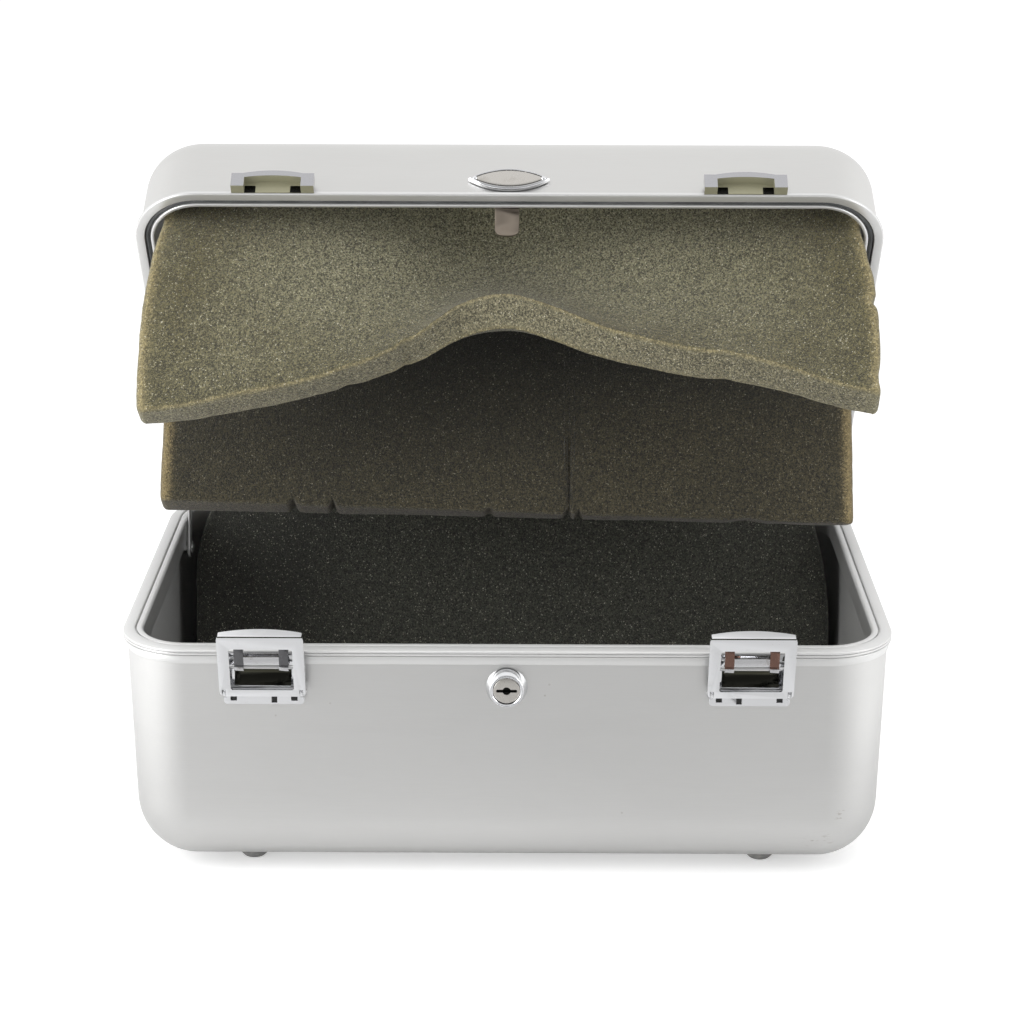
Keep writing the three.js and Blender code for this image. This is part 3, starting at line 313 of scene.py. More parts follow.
def loft(rings, closed=False):
    """Points and faces through rings of as many points each, capped unless they close."""
    count = len(rings[0])
    faces = []
    for i in range(len(rings) if closed else len(rings) - 1):
        here, there = i * count, (i + 1) % len(rings) * count
        faces += [
            (here + k, here + (k + 1) % count, there + (k + 1) % count, there + k)
            for k in range(count)
        ]
    if not closed:
        faces += [tuple(range(count)), tuple((len(rings) - 1) * count + k for k in range(count))]
    return [point for ring in rings for point in ring], faces


def pan_section(start, height, edge, inset, draft, steps=16):
    """Inset and distance from the parting line along a pan, from its edge to its floor."""
    straight = height - edge
    foot = inset + draft * straight
    return [(inset + draft * start, start)] + arc((foot + edge, straight), edge, 180, 90, steps)


def pan(start, height, edge, inset, draft, up):
    """A drawn pan with an even wall."""
    outside = pan_section(start, height, edge, inset, draft)
    inside = pan_section(start, height - shell_wall, edge - shell_wall, inset + shell_wall, draft)
    return loft([rim_ring(a, up * b) for a, b in outside[::-1] + inside])


def satin_aluminium(name, colour, scuffs):
    """Brushed sheet with a fine grain along the case, soft smears, and scuffs where given."""
    look = Finish(name)
    place = look.place()
    within = look.marked("inside")
    brushed = look.cloud(look.stretched(place, (60, 900, 2600)), 1, 2)
    grain = look.cloud(place, 1900, 1)
    smear = look.between(look.cloud(look.stretched(place, (5, 9, 16)), 1, 4, 0.6), 0.42, 0.75)
    wiped = look.between(look.cloud(look.stretched(place, (3, 3, 34)), 1, 3), 0.5, 0.72)
    dull = 0.45 * smear + 0.35 * wiped
    speck = look.between(look.cells(place, 95), 0.09, 0.03)
    rare = look.between(look.cloud(place, 13, 1), 0.62, 0.7)
    near = 0.0
    for spot, reach in scuffs:
        ends = {0: place, 1: spot}
        away = look.add("ShaderNodeVectorMath", {"operation": "DISTANCE"}, ends, "Value")
        streak = look.cloud(look.stretched(place, (160, 160, 620)), 1, 3, 0.7)
        near = near + look.between(away, reach, 0.25 * reach) * look.between(streak, 0.56, 0.68)
    soiled = (0.5 * speck * rare + 0.7 * near).at_most(0.8)
    dim = tuple(c * 0.9 for c in colour[:3]) + (1,)
    toned = look.blend(dull * 0.55, colour, dim)
    toned = look.blend(brushed * 0.12, toned, (0.86, 0.86, 0.86, 1))
    # The inside of a pan is rougher, and its colour is painted paler as painted light on its shaded
    # walls.
    toned = look.blend(within * 0.4, toned, (0.86, 0.86, 0.85, 1))
    return look.done(
        Base_Color=look.blend(soiled, toned, (0.21, 0.17, 0.13, 1)),
        Metallic=1 - soiled * 0.7,
        Roughness=0.34 + 0.1 * dull + 0.05 * brushed + 0.2 * soiled + 0.24 * within,
        Normal=look.bump(0.7 * brushed + 0.3 * grain, 0.00003, 0.5),
    )


# Places on the front right of the base, in metres, where it has been knocked.
base_scuffs = [((0.188, -0.154, 0.022), 0.016), ((0.2, -0.15, 0.045), 0.006)]
base_satin = satin_aluminium("base_satin", (0.575, 0.573, 0.565, 1), base_scuffs)
lid_satin = satin_aluminium("lid_satin", (0.61, 0.606, 0.593, 1), [])

base_pan = set_piece(
    "base_drawn_shell", *pan(base_lap, base_height, base_edge, base_inset, base_draft, -1),
    in_base, "base", "shell_aluminium", base_satin, ["base_shell"],
)
lid_pan = set_piece(
    "lid_drawn_shell", *pan(lid_lap, lid_height, lid_edge, lid_inset, lid_draft, 1),
    in_lid, "lid", "shell_aluminium", lid_satin, ["lid_shell"],
)


def mark(piece, name, domain, values):
    """A value for each point or face of a piece, which its finish reads by name."""
    piece.data.attributes.new(name, "FLOAT", domain).data.foreach_set("value", values)


# The inside of a pan is the second half of its points.
for shell in (base_pan, lid_pan):
    points = len(shell.data.vertices)
    mark(shell, "inside", "POINT", [float(2 * k >= points) for k in range(points)])


# Rim frames and seal. Each rim is an aluminium extrusion, bent round the case and closed at the
# back, with a bead over the edge of its shell. A grey rubber strip is pushed into the lid's.
def eased(outline, steps=4):
    """A closed outline whose corners, given with a radius each, are rounded."""
    rounded = []
    for i, (a, b, radius) in enumerate(outline):
        corner = Vector((a, b))
        before = Vector(outline[i - 1][:2]) - corner
        after = Vector(outline[(i + 1) % len(outline)][:2]) - corner
        reach = min(radius, 0.48 * before.length, 0.48 * after.length)
        start, end = corner + before.normalized() * reach, corner + after.normalized() * reach
        for k in range(steps + 1):
            t = k / steps
            rounded.append((1 - t) ** 2 * start + 2 * t * (1 - t) * corner + t * t * end)
    return rounded


def carried_round(section):
    return loft([rim_ring(a, b, 18) for a, b in eased(section)], True)


def rolled_aluminium(name, colour, rough):
    """Extrusion with fine die lines that run with the rim, worn and dusty in places, and paler
    where it is marked as rubbed."""
    look = Finish(name)
    place = look.place()
    lines = look.cloud(look.stretched(place, (25, 25, 900)), 1, 2)
    worn = look.between(look.cloud(place, 14, 3, 0.5), 0.42, 0.74)
    rubbed = look.marked("rubbed")
    dusty = look.between(look.cloud(place, 90, 2), 0.62, 0.78)
    toned = look.blend(worn * 0.3, colour, (0.66, 0.655, 0.64, 1))
    return look.done(
        Base_Color=look.blend(dusty * 0.08, toned, (0.4, 0.38, 0.35, 1)),
        Metallic=0.7 - 0.4 * rubbed,
        Roughness=rough + 0.06 * worn + 0.04 * dusty + 0.08 * rubbed,
        Normal=look.bump(lines, 0.00002, 0.25),
    )


rim_metal = rolled_aluminium("rim_metal", (0.66, 0.66, 0.655, 1), 0.3)
base_section = [(0, -1.1, 1), (0, -2.35, 0.3), (0.8, -2.6, 0.1), (0, -2.85, 0.3), (0, -4.05, 0.4)]
base_section += [(0.9, -4.35, 0.1), (0, -4.7, 0.3), (0, -5.1, 0.6), (1.4, -5.1, 0.3)]
base_section += [(1.15, -7.4, 1.5), (1.4, -9.8, 0.6), (1.9, -9.8, 0.1), (1.9, -4.6, 0.1)]
base_section += [(9.8, -4.6, 0.2), (9.8, -16, 0.3), (12, -16, 0.6), (12, -0.5, 1.6)]
base_section += [(7.9, -0.5, 1.6), (7.9, -2, 0.2), (7.2, -2, 0.2), (7.2, -0.3, 0.9), (3.2, -0.25, 3)]
base_rim = set_piece(
    "base_rim_extrusion", *carried_round(base_section),
    in_base, "base", "frame_aluminium", rim_metal, ["base_frame"],
)
# The top of the rim has been rubbed pale by hands and by what went in and out.
crown_edge = -1.6
rim_heights = [(in_base.inverted() @ corner.co).z for corner in base_rim.data.vertices]
mark(base_rim, "rubbed", "POINT", [float(height > crown_edge) for height in rim_heights])
lid_section = [(0, 0.3, 1), (0, 2.9, 1.1), (4.6, 2.9, 0.1), (4.87, 7.25, 0.2), (9.8, 7.25, 0.2)]
lid_section += [(9.8, 17, 0.3), (12, 17, 0.6), (12, 0.5, 1.2), (9.3, 0.5, 1), (9.3, 5.25, 0.1)]
lid_section += [(5.9, 5.25, 0.1), (5.9, 0.3, 0.5)]
set_piece(
    "lid_rim_extrusion", *carried_round(lid_section),
    in_lid, "lid", "frame_aluminium", rim_metal, ["lid_frame"],
)

seal_look = Finish("seal_rubber")
seal_place = seal_look.place()
bloom = seal_look.between(seal_look.cloud(seal_place, 60, 4, 0.6), 0.38, 0.7)
lint = seal_look.cloud(seal_place, 1500, 1)
seal_rubber = seal_look.done(
    Base_Color=seal_look.blend(bloom * 0.5, (0.045, 0.048, 0.05, 1), (0.15, 0.153, 0.153, 1)),
    Roughness=0.52 + 0.2 * bloom,
    Normal=seal_look.bump(lint, 0.00008, 0.6),
)
seal_section = [(6.2, 1.6, 0.8), (7.3, 1, 0.4), (7.7, 1, 0.4)]
seal_section += [(9, 1.6, 0.8), (9, 4.95, 0.2), (6.2, 4.95, 0.2)]
set_piece(
    "rubber_seal", *carried_round(seal_section),
    in_lid, "lid", "seal_rubber", seal_rubber, ["lid_seal"],
)


# Draw latches. Pressed and folded from steel strip, deburred and chromed: a plate with cheeks
# and a scooped dish, a lever with a window, and two claws that reach the keeper on the lid. Black
# sheets behind the holes of the plate are painted shade, for the dark hollow behind them.
def plate_along_y(outline, near, far):
    return loft([[(x, y, z) for x, z in outline] for y in (near, far)])


def break_edges(piece, width, segments=2):
    """A bevel along the sharp edges of a piece."""
    broken = piece.modifiers.new("broken edges", "BEVEL")
    broken.width = width * millimetre
    broken.segments = segments
    broken.limit_method = "ANGLE"
    broken.angle_limit = math.radians(38)
    return broken


def softened(node, body, finish, width, segments=2, cuts=()):
    """A CAD piece with its edges broken by a width in millimetres, as a finished piece. Its faces
    end at the cuts, each a place along an axis, so that each side can be marked."""
    mesh = frame["nodes"][node].data.copy()
    mesh.name = f"{node}_finished"
    skin = bmesh.new()
    skin.from_mesh(mesh)
    bmesh.ops.remove_doubles(skin, verts=skin.verts, dist=2e-6)
    flat = math.radians(1.2)
    bmesh.ops.dissolve_limit(skin, angle_limit=flat, verts=skin.verts, edges=skin.edges)
    for axis, spot in cuts:
        whole = [*skin.verts, *skin.edges, *skin.faces]
        toward = Vector([float(axis == name) for name in "XYZ"])
        through_spot = toward * spot * millimetre
        bmesh.ops.bisect_plane(skin, geom=whole, plane_co=through_spot, plane_no=toward)
    skin.to_mesh(mesh)
    skin.free()
    mesh.materials.clear()
    mesh.materials.append(finish)
    mesh.shade_smooth()
    piece = put(mesh.name, mesh)
    break_edges(piece, width, segments).harden_normals = True
    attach(piece, body)
    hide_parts(node)
    return piece


def plated(name, colour, rough, tarnish, tarnished=0.3, sunk=(0.1, 0.098, 0.07, 1)):
    """Bright plating over pressed steel, with a slight ripple, wipe marks and dull patches.
    Faces marked half sunk take a colour of their own: painted shade in the dish and in the fold of a
    lever, a painted reflection of the foam in a keeper's recess, and a darker tone on the claws'
    prongs.
    Faces marked wholly sunk are painted black, as shade, and faces marked satin are dulled by wear."""
    look = Finish(name)
    place = look.place()
    deep, satin = look.marked("sunk"), look.marked("satin")
    ripple = look.cloud(place, 130, 2)
    wiped = look.between(look.cloud(look.stretched(place, (240, 240, 60)), 1, 3), 0.46, 0.74)
    patch = look.between(look.cloud(place, 75, 4, 0.7), 0.55, 0.74)
    pitted = look.between(look.cloud(place, 90, 1), 0.55, 0.66)
    pit = look.between(look.cells(place, 620), 0.16, 0.05) * pitted
    age_and_shade = (patch * tarnished + pit * 0.6).at_most(0.9)
    toned = look.blend(2 * deep, look.blend(age_and_shade, colour, tarnish), sunk)
    return look.done(
        Base_Color=look.blend(2 * deep - 1, toned, (0.012, 0.012, 0.011, 1)),
        Metallic=1 - 0.55 * satin,
        Roughness=rough + 0.07 * wiped + 0.25 * age_and_shade + 0.12 * deep + 0.25 * satin,
        Normal=look.bump(ripple, 0.00012, 0.25),
    )


def mark_faces(piece, name, place, test):
    """Marks the faces of a piece by a test of their middle in the closed case's millimetres."""
    back = place.inverted()
    mark(piece, name, "FACE", [float(test(*(back @ f.center))) for f in piece.data.polygons])


chrome = plated("chrome_plate", (0.74, 0.745, 0.76, 1), 0.07, (0.36, 0.35, 0.34, 1), 0.2)
claw_plate = {
    side: plated(f"{side}_claw_plate", (0.5, 0.5, 0.51, 1), 0.2, tarnish, 0.6, prong)
    for side, tarnish, prong in (
        ("left", (0.2, 0.18, 0.16, 1), (0.13, 0.13, 0.135, 1)),
        ("right", (0.2, 0.16, 0.14, 1), (0.17, 0.1, 0.08, 1)),
    )
}
zinc_steel = plated("zinc_steel", (0.55, 0.55, 0.55, 1), 0.28, (0.3, 0.28, 0.25, 1), 0.4)
# Painted shade: a near-black finish for the sheets set behind the holes of the plate.
hole_shade_look = Finish("painted_hole_shade")
hole_shade_mottle = hole_shade_look.cloud(hole_shade_look.place(), 700, 2)
painted_hole_shade = hole_shade_look.done(
    Base_Color=hole_shade_look.blend(hole_shade_mottle, (0.006, 0.006, 0.006, 1), (0.02, 0.02, 0.019, 1)),
    Roughness=0.7,
)
hands = (("left", -1), ("right", 1))
latch_x = case_width / 2 - 87
hole_x, hole_z, claw_inner, prong_length = 17.7, -30, 10.2, 12.4
hole_shade_front, hole_shade_back = -1.35, -0.4
dish_half, dish_front, dish_back, dish_foot, dish_head, lit_floor = 16.6, -9, -2.2, -20.5, -9, -13
satin_depth, fold_depth = 2, 2.9


def crown_of(node):
    """The height of a CAD piece in millimetres."""
    return max(v.co.z for v in frame["nodes"][node].data.vertices) / millimetre


for side, hand in hands:
    middle = hand * latch_x
    plate = softened(f"latch_plate_{side}", "base", chrome, 0.45)

    def in_dish(x, y, z):
        """Painted shade in the dish, darker still at its foot, where no light falls."""
        across_dish = abs(x - middle) < dish_half and dish_front < y < dish_back
        if not across_dish or not dish_foot < z < dish_head:
            return 0
        return 0.78 if z > lit_floor else 0.95

    mark_faces(plate, "sunk", in_base, in_dish)
    ell = [(4.5, -33.7), (7.5, -33.7), (7.5, -29.9), (12, -29.9), (12, -28.7), (4.5, -28.7)]
    outlines = {"slot": [(-hand * x, z) for x, z in ell]}
    for hole, way in hands:
        outlines[hole] = round_box(3.4, 2.6, 0.3, (way * hole_x, hole_z), 2)
    # Sheets of painted shade behind the slot and the two square holes.
    for hole, outline in outlines.items():
        set_piece(
            f"latch_hole_shade_{side}_{hole}",
            *plate_along_y([(middle + x, z) for x, z in outline], hole_shade_front, hole_shade_back),
            in_base, "base", "seal_rubber", painted_hole_shade,
        )
    softened(f"latch_pin_{side}", "base", zinc_steel, 0.25)
    crown = crown_of(f"latch_lever_{side}")
    satin_foot, fold_foot = crown - satin_depth, crown - fold_depth
    fold = [("Z", satin_foot), ("Z", fold_foot)]
    lever = softened(
        f"latch_lever_{side}", f"lever_{side}", chrome, 0.5, 3, fold
    )
    mark_faces(lever, "satin", to_metres, lambda x, y, z: z > satin_foot)
    # A band under the top of the lever is painted dark, as the shade of its fold.
    mark_faces(lever, "sunk", to_metres, lambda x, y, z: 0.8 * (fold_foot < z < satin_foot))
    softened(f"claw_pin_{side}", f"lever_{side}", zinc_steel, 0.2)
    claws = softened(
        f"latch_claw_{side}", f"claws_{side}", claw_plate[side], 0.3,
        cuts=[("X", middle - claw_inner), ("X", middle + claw_inner)],
    )
    tips = crown_of(f"latch_claw_{side}")

    def on_prong(x, y, z):
        return 0.5 * (abs(x - middle) > claw_inner and z > tips - prong_length)

    mark_faces(claws, "sunk", to_metres, on_prong)


# Cam lock. A nickel-plated barrel with a bevelled collar, held by a hexagon nut behind the
# wall. The key turns the plug, and the cam on its tail swings behind the tab on the lid.
def turned(profile, axis, centre, sides=56):
    """A lathe shape from pairs of radius and place along an axis, on or off that axis."""
    points, rings = [], []
    for radius, along in profile:
        ring = []
        for k in range(1 if radius == 0 else sides):
            t = 2 * math.pi * k / sides
            flat = (radius * math.cos(t), radius * math.sin(t))
            place = {
                "X": (along, centre[0] + flat[0], centre[1] + flat[1]),
                "Y": (centre[0] + flat[0], along, centre[1] + flat[1]),
                "Z": (centre[0] + flat[0], centre[1] + flat[1], along),
            }[axis]
            ring.append(len(points))
            points.append(place)
        rings.append(ring)
    faces = []
    pairs = list(zip(rings, rings[1:]))
    if profile[0][0] > 0:
        pairs.append((rings[-1], rings[0]))
    for a, b in pairs:
        for k in range(sides):
            m = (k + 1) % sides
            corners = [a[k % len(a)], a[m % len(a)], b[m % len(b)], b[k % len(b)]]
            faces.append(tuple(dict.fromkeys(corners)))
    return points, faces


def cut_away(piece, tools):
    """The piece less its tools, which are then gone. It keeps its one finish."""
    finish = piece.data.materials[0]
    for tool in tools:
        cut = piece.modifiers.new("cut", "BOOLEAN")
        cut.operation = "DIFFERENCE"
        cut.solver = "EXACT"
        cut.object = tool
    bpy.context.view_layer.update()
    whole = piece.evaluated_get(bpy.context.evaluated_depsgraph_get())
    mesh = bpy.data.meshes.new_from_object(whole)
    piece.modifiers.clear()
    piece.data = mesh
    for tool in tools:
        bpy.data.objects.remove(tool)
    mesh.materials.clear()
    mesh.materials.append(finish)
    mesh.shade_smooth()
    mesh.set_sharp_from_angle(angle=math.radians(30))


def cutter(points, faces, place):
    """A tool for cut_away, in the closed case's millimetres."""
    return put("cutter", stood("cutter", points, faces, place))


nickel = plated("lock_nickel", (0.52, 0.5, 0.47, 1), 0.24, (0.3, 0.27, 0.23, 1), 0.35)
lock_z = -24
lock_centre = (0, lock_z)
lock_seat = base_inset - base_draft * lock_z - seat_gap
wall_hole = [(0, -6), (8.3, -6), (8.3, 9), (0, 9)]
cut_away(base_pan, [cutter(*turned(wall_hole, "Y", lock_centre, 40), in_base)])
collar_profile = [(12.2, lock_seat), (12.2, lock_seat - 0.7), (12.05, lock_seat - 0.95)]
collar_profile += [(10.1, -4.3), (9.75, -4.62), (9.45, -4.7), (9.35, -4.3), (9.1, -4.3)]
collar_profile += [(9, -4.75), (8.6, -4.75), (8.3, -4.5), (8.25, -1), (5.3, -1)]
collar_profile += [(5.3, 9.4), (7.7, 9.4), (8, 9.1), (8, lock_seat)]
set_piece(
    "lock_collar", *turned(collar_profile, "Y", lock_centre, 72),
    in_base, "base", "lock_nickel", chrome, ["lock_housing"],
)
plug_face = -4.2
plug_profile = [(0, plug_face), (7.3, plug_face), (7.6, -4.1), (7.85, -3.85), (7.9, -3.5)]
plug_profile += [(7.9, -1.3), (5, -1.3), (5, 12), (3.4, 12), (3.4, 16.4), (2.2, 16.4)]
plug_profile += [(2.2, 18.6), (0, 18.6)]
lock_plug = set_piece(
    "lock_plug_face", *turned(plug_profile, "Y", lock_centre),
    in_base, "lock_plug", "lock_nickel", nickel, ["lock_core"],
)

tool_front, keyway_width, keyway_height, keyway_floor = -7, 12, 1.7, -1.7
post_radius, post_floor = 2.4, -3.1
keyway = round_box(keyway_width, keyway_height, 0.4, lock_centre, 2)
key_post_hole = [(0, tool_front), (post_radius, tool_front)]
key_post_hole += [(post_radius, post_floor), (0, post_floor)]
tools = [cutter(*plate_along_y(keyway, tool_front, keyway_floor), in_base)]
tools.append(cutter(*turned(key_post_hole, "Y", lock_centre, 32), in_base))
cut_away(lock_plug, tools)


# The floor of the keyway is painted black, as shade.
def in_keyway(x, y, z):
    behind_face = plug_face + 0.1 < y < keyway_floor + 0.3
    return behind_face and abs(x) < keyway_width / 2 + 0.1 and abs(z - lock_z) < post_radius - 0.2


mark_faces(lock_plug, "sunk", in_base, in_keyway)
softened("lock_nut", "base", nickel, 0.4)
softened("lock_cam", "lock_plug", zinc_steel, 0.25)
tab_metal = plated("tab_metal", (0.24, 0.205, 0.168, 1), 0.3, (0.2, 0.16, 0.12, 1), 0.5)
softened("catch_tab", "lid", tab_metal, 0.3)

# Keepers. Pressed steel hooks on the lid for the claws: two end blocks, and a bowed bar over a
# recess with a pocket for each claw. The recess is painted a dull olive, a painted reflection of
# the foam, and the pockets are painted black as shade.
keeper_chrome = plated(
    "keeper_plate", (0.42, 0.42, 0.435, 1), 0.14, (0.3, 0.29, 0.26, 1), 0.2, (0.3, 0.29, 0.2, 1)
)
keeper_half, keeper_foot, keeper_head, keeper_bow, keeper_front = 24.8, 0.8, 11.4, 2.2, -6.5
keeper_back, cutter_front = -0.3, -12
recess_half, recess_foot, recess_floor, recess_head, recess_bow = 17, -5, -0.9, 8, 1.4
pocket_half, pocket_foot, pocket_head, pocket_floor, claw_offset = 3.3, -2, 6.2, -0.5, 13.7


def bowed(middle, half, foot, head, bow, shoulders):
    """A block's outline with a bowed top, and with shoulders of a width beside the bow."""
    reach = half - shoulders
    top = [1 - k / 6 for k in range(13)]
    crown = [(middle + reach * a, head + bow * (1 - a * a)) for a in top]
    sides = [(middle - half, foot), (middle + half, foot)]
    if shoulders:
        return sides + [(middle + half, head)] + crown + [(middle - half, head)]
    return sides + crown


for side, hand in hands:
    middle = hand * latch_x
    shoulders = keeper_half - recess_half - 1
    block = bowed(middle, keeper_half, keeper_foot, keeper_head, keeper_bow, shoulders)
    keeper = set_piece(
        f"keeper_{side}_finished", *plate_along_y(block, keeper_front, keeper_back),
        in_lid, "lid", "latch_chrome", keeper_chrome, [f"keeper_{side}"],
    )
    recess = bowed(middle, recess_half, recess_foot, recess_head, recess_bow, 0)
    tools = [cutter(*plate_along_y(recess, cutter_front, recess_floor), in_lid)]
    for way in (-1, 1):
        centre = (middle + way * claw_offset, (pocket_head + pocket_foot) / 2)
        pocket = round_box(2 * pocket_half, pocket_head - pocket_foot, 0.4, centre, 2)
        tools.append(cutter(*plate_along_y(pocket, cutter_front, pocket_floor), in_lid))
    cut_away(keeper, tools)

    def in_recess(x, y, z):
        """Half for the faces of the recess, painted olive as a reflection of the foam, and one for
        the pockets' floors and sides, painted black as shade.
        """
        if abs(x - middle) > recess_half + 0.1 or y < keeper_front + 0.3 or z > keeper_head - 1:
            return 0
        in_pocket = recess_floor + 0.1 < y < keeper_back - 0.1 and z > keeper_foot + 0.3
        return 1 if in_pocket else 0.5

    mark_faces(keeper, "sunk", in_lid, in_recess)
    mark_faces(keeper, "satin", in_lid, lambda x, y, z: in_recess(x, y, z) == 0.5)
    break_edges(keeper, 0.4)

# Nameplate. A lens of brushed metal with a raised rim and a dark line inside it, left bare, and
# held on the lid by a small round rivet at each tip.
plate_middle = 14


def lens_outline(width, height, steps=24):
    """Two equal arcs that meet in a tip at each side."""
    radius = (width * width + height * height) / (4 * height)
    drop = radius - height / 2
    spread = math.degrees(math.asin(width / 2 / radius))
    upper = arc((0, plate_middle - drop), radius, 90 - spread, 90 + spread, steps)
    lower = arc((0, plate_middle + drop), radius, 270 - spread, 270 + spread, steps)
    return upper[:-1] + lower[:-1]


def lens_stack(stations):
    """A lens through stations, each a place along Y with its width and height."""
    return loft([[(x, y, z) for x, z in lens_outline(w, h)] for y, w, h in stations])


rim_stations = [(2.3, 49, 17), (0.6, 49, 17), (0.1, 48.4, 16.6), (-0.35, 46.8, 15.6)]
rim_stations += [(-0.5, 45.6, 14.8), (-0.35, 44.6, 14.2), (-0.1, 44.2, 13.9)]
set_piece(
    "nameplate_rim", *lens_stack(rim_stations),
    in_lid, "lid", "latch_chrome", chrome, ["nameplate"], sharp=30,
)
enamel_look = Finish("dark_enamel")
chips = enamel_look.between(enamel_look.cloud(enamel_look.place(), 900, 2), 0.62, 0.7)
dark_enamel = enamel_look.done(
    Base_Color=enamel_look.blend(chips, (0.025, 0.024, 0.022, 1), (0.3, 0.28, 0.25, 1)),
    Roughness=0.32 + 0.2 * chips,
)
set_piece(
    "nameplate_line", *lens_stack([(0.2, 44.6, 14.2), (-0.18, 44.6, 14.2)]),
    in_lid, "lid", "latch_chrome", dark_enamel,
)
set_piece(
    "nameplate_field",
    *lens_stack([(0.1, 42, 12.4), (-0.25, 42, 12.4), (-0.45, 41, 11.8), (-0.6, 34, 9.6)]),
    in_lid, "lid", "lock_nickel", nickel,
)


def rivet(name, centre, seat, out, radius, height, body, place, finish, axis="Y"):
    """A round rivet head that stands out of its seat by its height."""
    slopes = [math.radians(a) for a in (0, 18, 36, 54, 72)]
    domed = [(radius * math.cos(t), seat + out * height * math.sin(t)) for t in slopes]
    shank = seat - out * 0.4
    profile = [(0, shank), (radius, shank), *domed, (0, seat + out * height)]
    shape = turned(profile, axis, centre, 24)
    return set_piece(name, *shape, place, body, "zinc_steel", finish)


tip_x = 20.7
for side, hand in hands:
    spot = (hand * tip_x, plate_middle)
    rivet(f"nameplate_rivet_{side}", spot, -0.2, -1, 1.5, 0.9, "lid", in_lid, chrome)

# Rubber feet. Moulded grey domes with a flat underside, screwed up into the floor of the base.
rubber_look = Finish("foot_rubber")
rubber_place = rubber_look.place()
scuffed = rubber_look.between(rubber_look.cloud(rubber_place, 190, 4, 0.6), 0.42, 0.7)
foot_rubber = rubber_look.done(
    Base_Color=rubber_look.blend(scuffed * 0.6, (0.2, 0.2, 0.195, 1), (0.33, 0.32, 0.3, 1)),
    Roughness=0.6 + 0.2 * scuffed,
    Normal=rubber_look.bump(rubber_look.cloud(rubber_place, 1300, 2), 0.0001, 0.6),
)
foot_x, foot_y = 155, 44
foot_top, foot_flat = -base_height - seat_gap, -base_height - 6
screw_hole = foot_flat + 1.4
dome = [(0, foot_top), (9.2, foot_top), (9.2, foot_top - 1.4)]
dome += [(9, foot_top - 2.2), (8.4, foot_top - 3.2), (7.6, foot_top - 4.2)]
dome += [(6.6, foot_top - 5.2), (6, foot_flat + 0.2), (5.6, foot_flat)]
dome += [(2.6, foot_flat), (2.6, screw_hole), (0, screw_hole)]
for end, y in (("front", foot_y), ("back", case_depth - foot_y)):
    for side, hand in hands:
        shape = turned(dome, "Z", (hand * foot_x, y), 40)
        name, nodes = f"rubber_foot_{end}_{side}", [f"foot_{end}_{side}"]
        set_piece(name, *shape, in_base, "base", "foot_rubber", foot_rubber, nodes)

# Hinges. Two zinc-plated butt hinges on the back, each leaf set over its rim with a joggle and
# held to the shell by three rivets.
hinge_x, leaf_back, leaf_middle, rivet_z, rivet_gap = 140, case_depth + 2, 22, 23, 21
halves = (
    ("base", in_base, -1, leaf_back - base_inset - base_draft * leaf_middle),
    ("lid", in_lid, 1, leaf_back - lid_inset - lid_draft * leaf_middle),
)
for side, hand in hands:
    for half, place, up, seat in halves:
        softened(f"hinge_{half}_leaf_{side}", half, zinc_steel, 0.25)
        for k in range(3):
            spot = (hand * hinge_x + (k - 1) * rivet_gap, up * rivet_z)
            name = f"hinge_{half}_rivet_{side}_{k + 1}"
            rivet(name, spot, seat, 1, 2.4, 1.1, half, place, zinc_steel)
    softened(f"hinge_pin_{side}", "base", zinc_steel, 0.3)

# Lid stay. A slotted arm of pressed steel that hangs on a rivet in the lid's rim, and slides on
# a stud in the left wall of the base.
softened("stay_arm", "stay_arm", zinc_steel, 0.3)
softened("stay_post", "base", zinc_steel, 0.25)
softened("stay_rivet", "lid", zinc_steel, 0.25)

# Carrying handle. A bent bar of chromed steel in two riveted brackets, with a moulded black grip
# whose underside is waved for the fingers.
handle_y, handle_z = 128, 70
handle_reach, handle_half, bend, bar = 30, 54, 9, 3
bracket_x, bracket_rivet_x, bracket_rivet_y, bracket_face = 59.6, 8.4, 10.6, lid_height + 1.9
on_handle = in_lid @ Matrix.Translation((0, handle_y, handle_z))
for side, hand in hands:
    softened(f"handle_bracket_{side}", "lid", zinc_steel, 0.4)
    for k, (dx, dy) in enumerate(((-1, -1), (1, -1), (-1, 1), (1, 1))):
        spot = (hand * bracket_x + dx * bracket_rivet_x, handle_y + dy * bracket_rivet_y)
        name = f"bracket_rivet_{side}_{k + 1}"
        rivet(name, spot, bracket_face, 1, 1.9, 0.9, "lid", in_lid, zinc_steel, "Z")

bend_x, bend_y = handle_half - bend, handle_reach - bend
bar_stations = [(-bend_x, -bar, 180)]
for hand, start in ((-1, 180), (1, 90)):
    bar_stations += [(hand * bend_x, bend_y, start - 90 * k / 8) for k in range(9)]
bar_stations.append((bend_x, -bar, 0))
bar_rings = []
for x, y, turn in bar_stations:
    t = math.radians(turn)
    ring = arc((bend, 0), bar, 0, 360, 20)[1:]
    bar_rings.append([(x + a * math.cos(t), y + a * math.sin(t), b) for a, b in ring])
set_piece(
    "handle_bar", *loft(bar_rings),
    on_handle, "handle", "latch_chrome", chrome, ["handle_bail"],
)
pivot_profile = [(0, 52), (2, 52), (2, 61.9), (1.7, 62.2), (0, 62.2)]
for side, hand in hands:
    shape = turned([(radius, hand * x) for radius, x in pivot_profile], "X", (0, 0), 24)
    set_piece(f"handle_pivot_{side}", *shape, on_handle, "handle", "latch_chrome", chrome)

